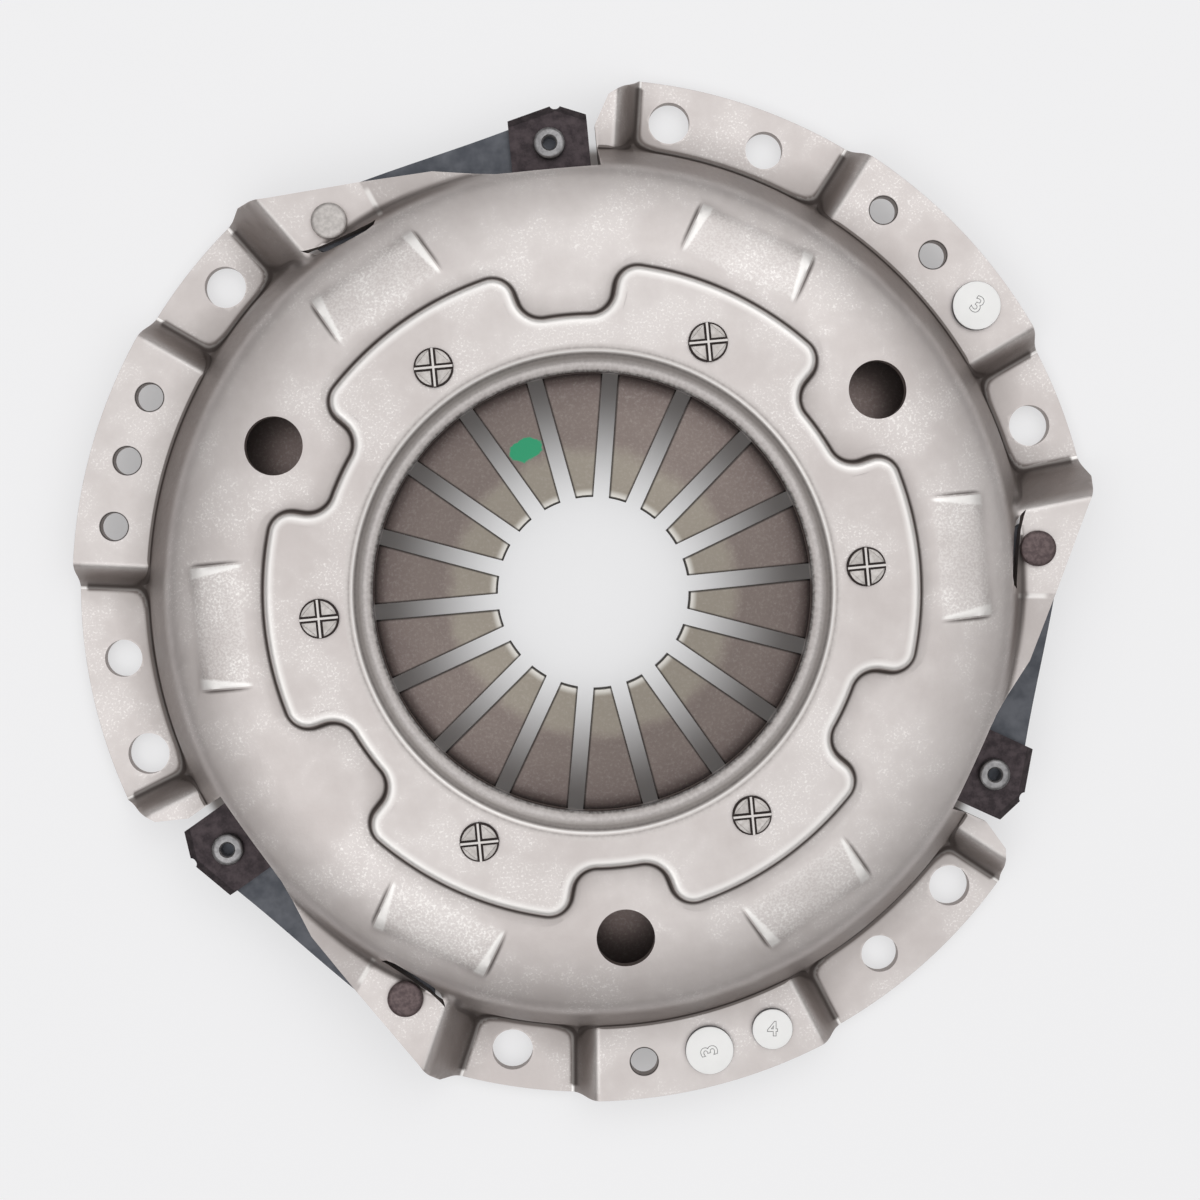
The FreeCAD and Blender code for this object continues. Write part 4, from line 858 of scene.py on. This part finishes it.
# Painted shade: dark edges along the slots and round the tips.
finger = math.tau / FINGERS
from_slot = ((place.angle_about_z() / finger + 0.5).fraction() - 0.5) * finger
beside_slot = (radius * from_slot.sine()).absolute()
outlined = (1.0 - beside_slot.step(0.00175, 0.0021)).most(1.0 - radius.step(0.0194, 0.0197))
colour = (outlined * 0.85).blend(colour, (0.03, 0.025, 0.023))
colour.feed(shader, "Base Color")
(0.5 - speckle * 0.1).feed(shader, "Roughness")
(0.8 - paint * 0.8).feed(shader, "Metallic")
speckle.bump(shader, 0.00005, 0.6)
spring.data.materials.clear()
spring.data.materials.append(spring_finish)
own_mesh(spring)


# Fulcrum rings: drawn wire, above and below the spring.
wire_finish, shader, place = new_finish("wire_steel", Metallic=0.9, Roughness=0.35)
colour = place.noise(0.002, 3.0).step(0.3, 0.7).blend((0.33, 0.31, 0.30), (0.47, 0.45, 0.43))
colour.feed(shader, "Base Color")


def dress(node, finish):
    """Give a CAD piece its finish."""
    nodes[node].data.materials.clear()
    nodes[node].data.materials.append(finish)


dress("upper_fulcrum_ring", wire_finish)
dress("lower_fulcrum_ring", wire_finish)


# Pressure plate: a cast iron ring with three lugs. Its lower face is ground, and the rest is as cast.
iron_finish, shader, place = new_finish("plate_iron", Metallic=0.75)
cast = place.noise(0.0014, 4.0, 0.65)
colour = cast.step(0.3, 0.7).blend((0.16, 0.155, 0.15), (0.27, 0.26, 0.255))
ground = 1.0 - place.axis(2).step(0.0035, 0.0038)
colour = ground.blend(colour, (0.52, 0.51, 0.50))
colour.feed(shader, "Base Color")
(0.62 - ground * 0.3).feed(shader, "Roughness")
cast.bump(shader, 0.00025, 0.8)
dress("pressure_plate", iron_finish)


# Drive straps: pairs of blued spring leaves, which carry the plate from the cover and let it lift.
# Each leaf is flat under the boss and on the lug, and dips smoothly between them.
STRAP_LENGTH, STRAP_HALF, LEAF, STRAP_DROP = 48.50, 6.0, 0.8, 2.7
DIP_START, DIP_END = 9.5, STRAP_LENGTH - 9.5
PLAY = 0.01
strap_finish, shader, place = new_finish("strap_steel", Metallic=0.85)
blotches = place.noise(0.006, 3.0, 0.6)
colour = blotches.step(0.3, 0.7).blend((0.065, 0.07, 0.082), (0.115, 0.12, 0.135))
colour.feed(shader, "Base Color")
(0.4 + place.noise(0.0008, 3.0) * 0.15).feed(shader, "Roughness")
for sector in range(3):
    turn = math.radians(120.0 * sector)
    hole = Vector((STRAP_CIRCLE * math.cos(turn), STRAP_CIRCLE * math.sin(turn), 0.0))
    along_strap = Matrix.Rotation(turn - math.radians(105.0), 3, "Z")
    for order, word in enumerate(("upper", "lower")):
        level = BOSS - STEEL - PLAY - LEAF * order
        shape = bmesh.new()
        bmesh.ops.create_grid(shape, x_segments=60, y_segments=6, size=1.0)
        for vertex in shape.verts:
            along = (vertex.co.x + 1) / 2 * (STRAP_LENGTH + 2 * STRAP_HALF) - STRAP_HALF
            past = max(-along, along - STRAP_LENGTH, 0.0)
            width = math.sqrt(max(STRAP_HALF ** 2 - past ** 2, 0.0))
            dip = STRAP_DROP * float(ease(along, DIP_START, DIP_END))
            vertex.co = Vector((along, vertex.co.y * width, level - dip))
        bmesh.ops.remove_doubles(shape, verts=shape.verts, dist=0.01)
        bmesh.ops.recalc_face_normals(shape, faces=shape.faces)
        bmesh.ops.solidify(shape, geom=shape.faces, thickness=LEAF)
        top = max(vertex.co.z for vertex in shape.verts)
        bmesh.ops.translate(shape, verts=shape.verts, vec=(0, 0, level - top))
        bmesh.ops.recalc_face_normals(shape, faces=shape.faces)
        bmesh.ops.rotate(shape, verts=shape.verts, cent=(0, 0, 0), matrix=along_strap)
        bmesh.ops.translate(shape, verts=shape.verts, vec=hole)
        to_metres(shape)
        node = "drive_strap_%d_%s" % (sector + 1, word)
        leaf = piece_from(shape, "leaf_%d_%s" % (sector + 1, word), None, [node])
        leaf.data.materials.append(strap_finish)
        start = (hole + along_strap @ Vector((DIP_START, 0, BOSS - STEEL))) * MM
        end = (hole + along_strap @ Vector((DIP_END, 0, BOSS - STEEL))) * MM
        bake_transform(leaf, "cover_assembly", "plate_assembly", start=start, end=end)


# Lug retainers: dark stamped plates on the straps at the lugs.
retainer_finish, shader, place = new_finish("retainer_steel", Metallic=0.7)
scale = place.noise(0.0022, 4.0, 0.65)
scale.step(0.3, 0.75).blend((0.026, 0.019, 0.022), (0.075, 0.058, 0.063)).feed(shader, "Base Color")
(0.38 + scale * 0.2).feed(shader, "Roughness")
scale.bump(shader, 0.0001, 0.6)
for number in (1, 2, 3):
    dress("lug_retainer_%d" % number, retainer_finish)


def turned(shape, section, around=64):
    """Turn a section about the Z axis; the section starts and ends on the axis or closes on itself."""
    ends = [shape.verts.new((radius, 0, height)) for radius, height in section]
    edges = [shape.edges.new(pair) for pair in zip(ends, ends[1:])]
    if section[0][0] > 0:
        edges.append(shape.edges.new((ends[-1], ends[0])))
    bmesh.ops.spin(shape, geom=ends + edges, cent=(0, 0, 0), axis=(0, 0, 1), angle=math.tau, steps=around,
                   use_merge=True)
    bmesh.ops.remove_doubles(shape, verts=shape.verts, dist=0.0001)
    bmesh.ops.recalc_face_normals(shape, faces=shape.faces)


def set_down(shape, radius, degrees, spin=0.0):
    """Turn a finished shape on the spot, put it on a circle about the axis, and bring it to metres."""
    turn_about_z(shape, shape.verts, math.radians(spin))
    bmesh.ops.translate(shape, verts=shape.verts, vec=(*on_circle(radius, degrees), 0))
    to_metres(shape)


def worn_steel(name, metallic, dark, light, roughness, change, size=0.0011):
    """A rivet's finish: worn patches between a dark and a light colour."""
    material, shader, place = new_finish(name, Metallic=metallic)
    wear = place.noise(size, 3.0, 0.6)
    wear.step(0.3, 0.7).blend(dark, light).feed(shader, "Base Color")
    (roughness + wear * change).feed(shader, "Roughness")
    return material


# Pivot rivets: shouldered steel pins through the rings and the spring, each headed over in a punch that
# leaves four sunk quarters and a raised cross.
rivet_finish, shader, place = new_finish("rivet_steel", Metallic=0.8)
wear = place.noise(0.0011, 3.0, 0.6)
colour = wear.step(0.3, 0.7).blend((0.46, 0.43, 0.41), (0.60, 0.57, 0.55))
# Painted shade: the head is dark below its top, in the grooves and round its rim; the top of the cross is
# lighter.
colour = place.axis(2).step(0.0338, 0.0340).blend((0.045, 0.035, 0.033), colour)
colour = place.axis(2).step(0.03435, 0.0345).blend(colour, (0.66, 0.63, 0.61))
colour.feed(shader, "Base Color")
(0.42 + wear * 0.1).feed(shader, "Roughness")
QUARTER_RADIUS, CROSS_HALF, HEAD_TOP = 3.62, 0.66, 33.93
for index in range(6):
    shape = bmesh.new()
    turned(shape, [(0, 12.24), (5.9, 12.24), (6.4, 12.74), (6.4, 17.04), (2.9, 17.04), (2.9, PLATFORM),
                   (4.0, PLATFORM), (4.0, 33.55), (3.9, 33.65), (0, 33.65)])
    for quarter in range(4):
        part = bmesh.new()
        peg(part, 0, 0, QUARTER_RADIUS, -0.325, 0.325)
        for side in ((-1, 0, 0), (0, -1, 0)):
            whole = part.verts[:] + part.edges[:] + part.faces[:]
            on_plane = Vector(side) * -CROSS_HALF
            made = bmesh.ops.bisect_plane(part, geom=whole, plane_co=on_plane, plane_no=side,
                                          clear_outer=True)
            loop = [item for item in made["geom_cut"] if isinstance(item, bmesh.types.BMEdge)]
            bmesh.ops.holes_fill(part, edges=loop)
        bmesh.ops.bevel(part, geom=[edge for edge in part.edges if edge.calc_face_angle(0) > 0.5], offset=0.1,
                        segments=2, profile=0.5, affect="EDGES", material=-1)
        bmesh.ops.translate(part, verts=part.verts, vec=(0, 0, HEAD_TOP))
        turn_about_z(part, part.verts, math.pi / 2 * quarter)
        held = bpy.data.meshes.new("quarter")
        part.to_mesh(held)
        part.free()
        shape.from_mesh(held)
        bpy.data.meshes.remove(held)
    for bar_number in (0, 1):
        bar = bmesh.ops.create_cube(shape, size=1.0)
        bmesh.ops.scale(shape, verts=bar["verts"], vec=(7.7, 0.44, 0.95))
        bmesh.ops.translate(shape, verts=bar["verts"], vec=(0, 0, 34.06 + 0.005 * bar_number))
        turn_about_z(shape, bar["verts"], math.pi / 2 * bar_number)
    set_down(shape, PIVOT_CIRCLE, 60.0 * index)
    name = "pivot_rivet_%d" % (index + 1)
    rivet = piece_from(shape, "cross_rivet_%d" % (index + 1), "cover_assembly", [name])
    rivet.data.materials.append(rivet_finish)


# Strap rivets: flat dark heads on the bosses, one of them paler, and tubular ones on the lugs.
dark_finish = worn_steel("dark_rivet", 0.7, (0.085, 0.062, 0.064), (0.16, 0.12, 0.12), 0.42, 0.12)
pale_finish = worn_steel("paler_rivet", 0.8, (0.42, 0.395, 0.38), (0.56, 0.53, 0.51), 0.4, 0.1)
for sector in range(3):
    shape = bmesh.new()
    turned(shape, [(0, 12.8), (4.0, 12.8), (4.2, 13.0), (4.2, 14.4), (2.5, 14.4), (2.5, 19.0), (3.75, 19.0),
                   (3.75, 20.1), (3.62, 20.45), (3.3, 20.68), (2.8, 20.8), (0, 20.8)])
    set_down(shape, STRAP_CIRCLE, 120.0 * sector)
    name = "cover_strap_rivet_%d" % (sector + 1)
    rivet = piece_from(shape, "boss_rivet_%d" % (sector + 1), "cover_assembly", [name])
    rivet.data.materials.append(pale_finish if sector == 1 else dark_finish)

lug_finish = worn_steel("lug_rivet_steel", 0.9, (0.21, 0.205, 0.21), (0.33, 0.325, 0.33), 0.32, 0.1, 0.0009)
for sector in range(3):
    shape = bmesh.new()
    turned(shape, [(1.4, 4.4), (4.0, 4.4), (4.2, 4.6), (4.2, 6.0), (2.5, 6.0), (2.5, 14.9), (3.35, 14.9),
                   (3.35, 15.9), (3.2, 16.35), (2.9, 16.6), (2.5, 16.7), (1.7, 16.7), (1.4, 16.4)])
    set_down(shape, STRAP_CIRCLE, 120.0 * sector - 30.0)
    name = "lug_rivet_%d" % (sector + 1)
    rivet = piece_from(shape, "tube_rivet_%d" % (sector + 1), "plate_assembly", [name])
    rivet.data.materials.append(lug_finish)


# Balance rivets: pale plugs in three of the nine balance holes, each stamped with a plain number.
plug_finish, shader, place = new_finish("balance_white", Metallic=0.0, Roughness=0.45)
colour = place.noise(0.003, 3.0).step(0.2, 0.8).blend((0.92, 0.92, 0.91), (0.95, 0.95, 0.94))
# Painted shadow: the plug's side, below its rounded top, is dark.
place.axis(2).step(0.01205, 0.01225).blend((0.05, 0.05, 0.06), colour).feed(shader, "Base Color")
ink_finish, shader, place = new_finish("stamped_grey", Metallic=0.2, Roughness=0.6)
place.noise(0.001, 2.0).blend((0.20, 0.20, 0.20), (0.34, 0.34, 0.34)).feed(shader, "Base Color")
# Each plug by its number, its angle, its radius, its digit, and the digit's size and turn.
PLUG_TOP = 12.38
plugs = (
    (1, 31.0, 5.15, "3", 4.9, -40.0),
    (2, -73.0, 4.35, "4", 4.3, -5.4),
    (3, -81.0, 5.15, "3", 4.9, 100.0),
)
for number, degrees, radius, digit, digit_size, digit_turn in plugs:
    shape = bmesh.new()
    turned(shape, [(0, 7.4), (3.8, 7.4), (3.9, 7.5), (3.9, 8.0), (2.85, 8.0), (2.85, 11.0), (radius, 11.0),
                   (radius, 12.05), (radius - 0.1, 12.28), (radius - 0.35, PLUG_TOP), (0, PLUG_TOP)])
    set_down(shape, BOLT_CIRCLE, degrees)
    name = "balance_rivet_%d" % number
    plug = piece_from(shape, "plug_%d" % number, "cover_assembly", [name])
    plug.data.materials.append(plug_finish)
    letter = bpy.data.curves.new("number_%d" % number, "FONT")
    letter.body = digit
    letter.size = digit_size
    letter.offset = 0.09
    letter.fill_mode = "NONE"
    letter.bevel_depth = 0.085
    letter.bevel_resolution = 0
    letter.align_x = "CENTER"
    letter.align_y = "CENTER"
    holder = bpy.data.objects.new("number_%d" % number, letter)
    bpy.context.scene.collection.objects.link(holder)
    bpy.context.view_layer.update()
    drawn = bpy.data.meshes.new_from_object(holder.evaluated_get(bpy.context.evaluated_depsgraph_get()))
    bpy.data.objects.remove(holder)
    shape = bmesh.new()
    shape.from_mesh(drawn)
    bmesh.ops.remove_doubles(shape, verts=shape.verts, dist=0.001)
    bmesh.ops.recalc_face_normals(shape, faces=shape.faces)
    bmesh.ops.translate(shape, verts=shape.verts, vec=(0, 0, PLUG_TOP - 0.01))
    set_down(shape, BOLT_CIRCLE, degrees, digit_turn)
    mark = piece_from(shape, "stamped_number_%d" % number, "cover_assembly", ())
    mark.data.materials.append(ink_finish)


bpy.context.scene.view_settings.view_transform = "Standard"
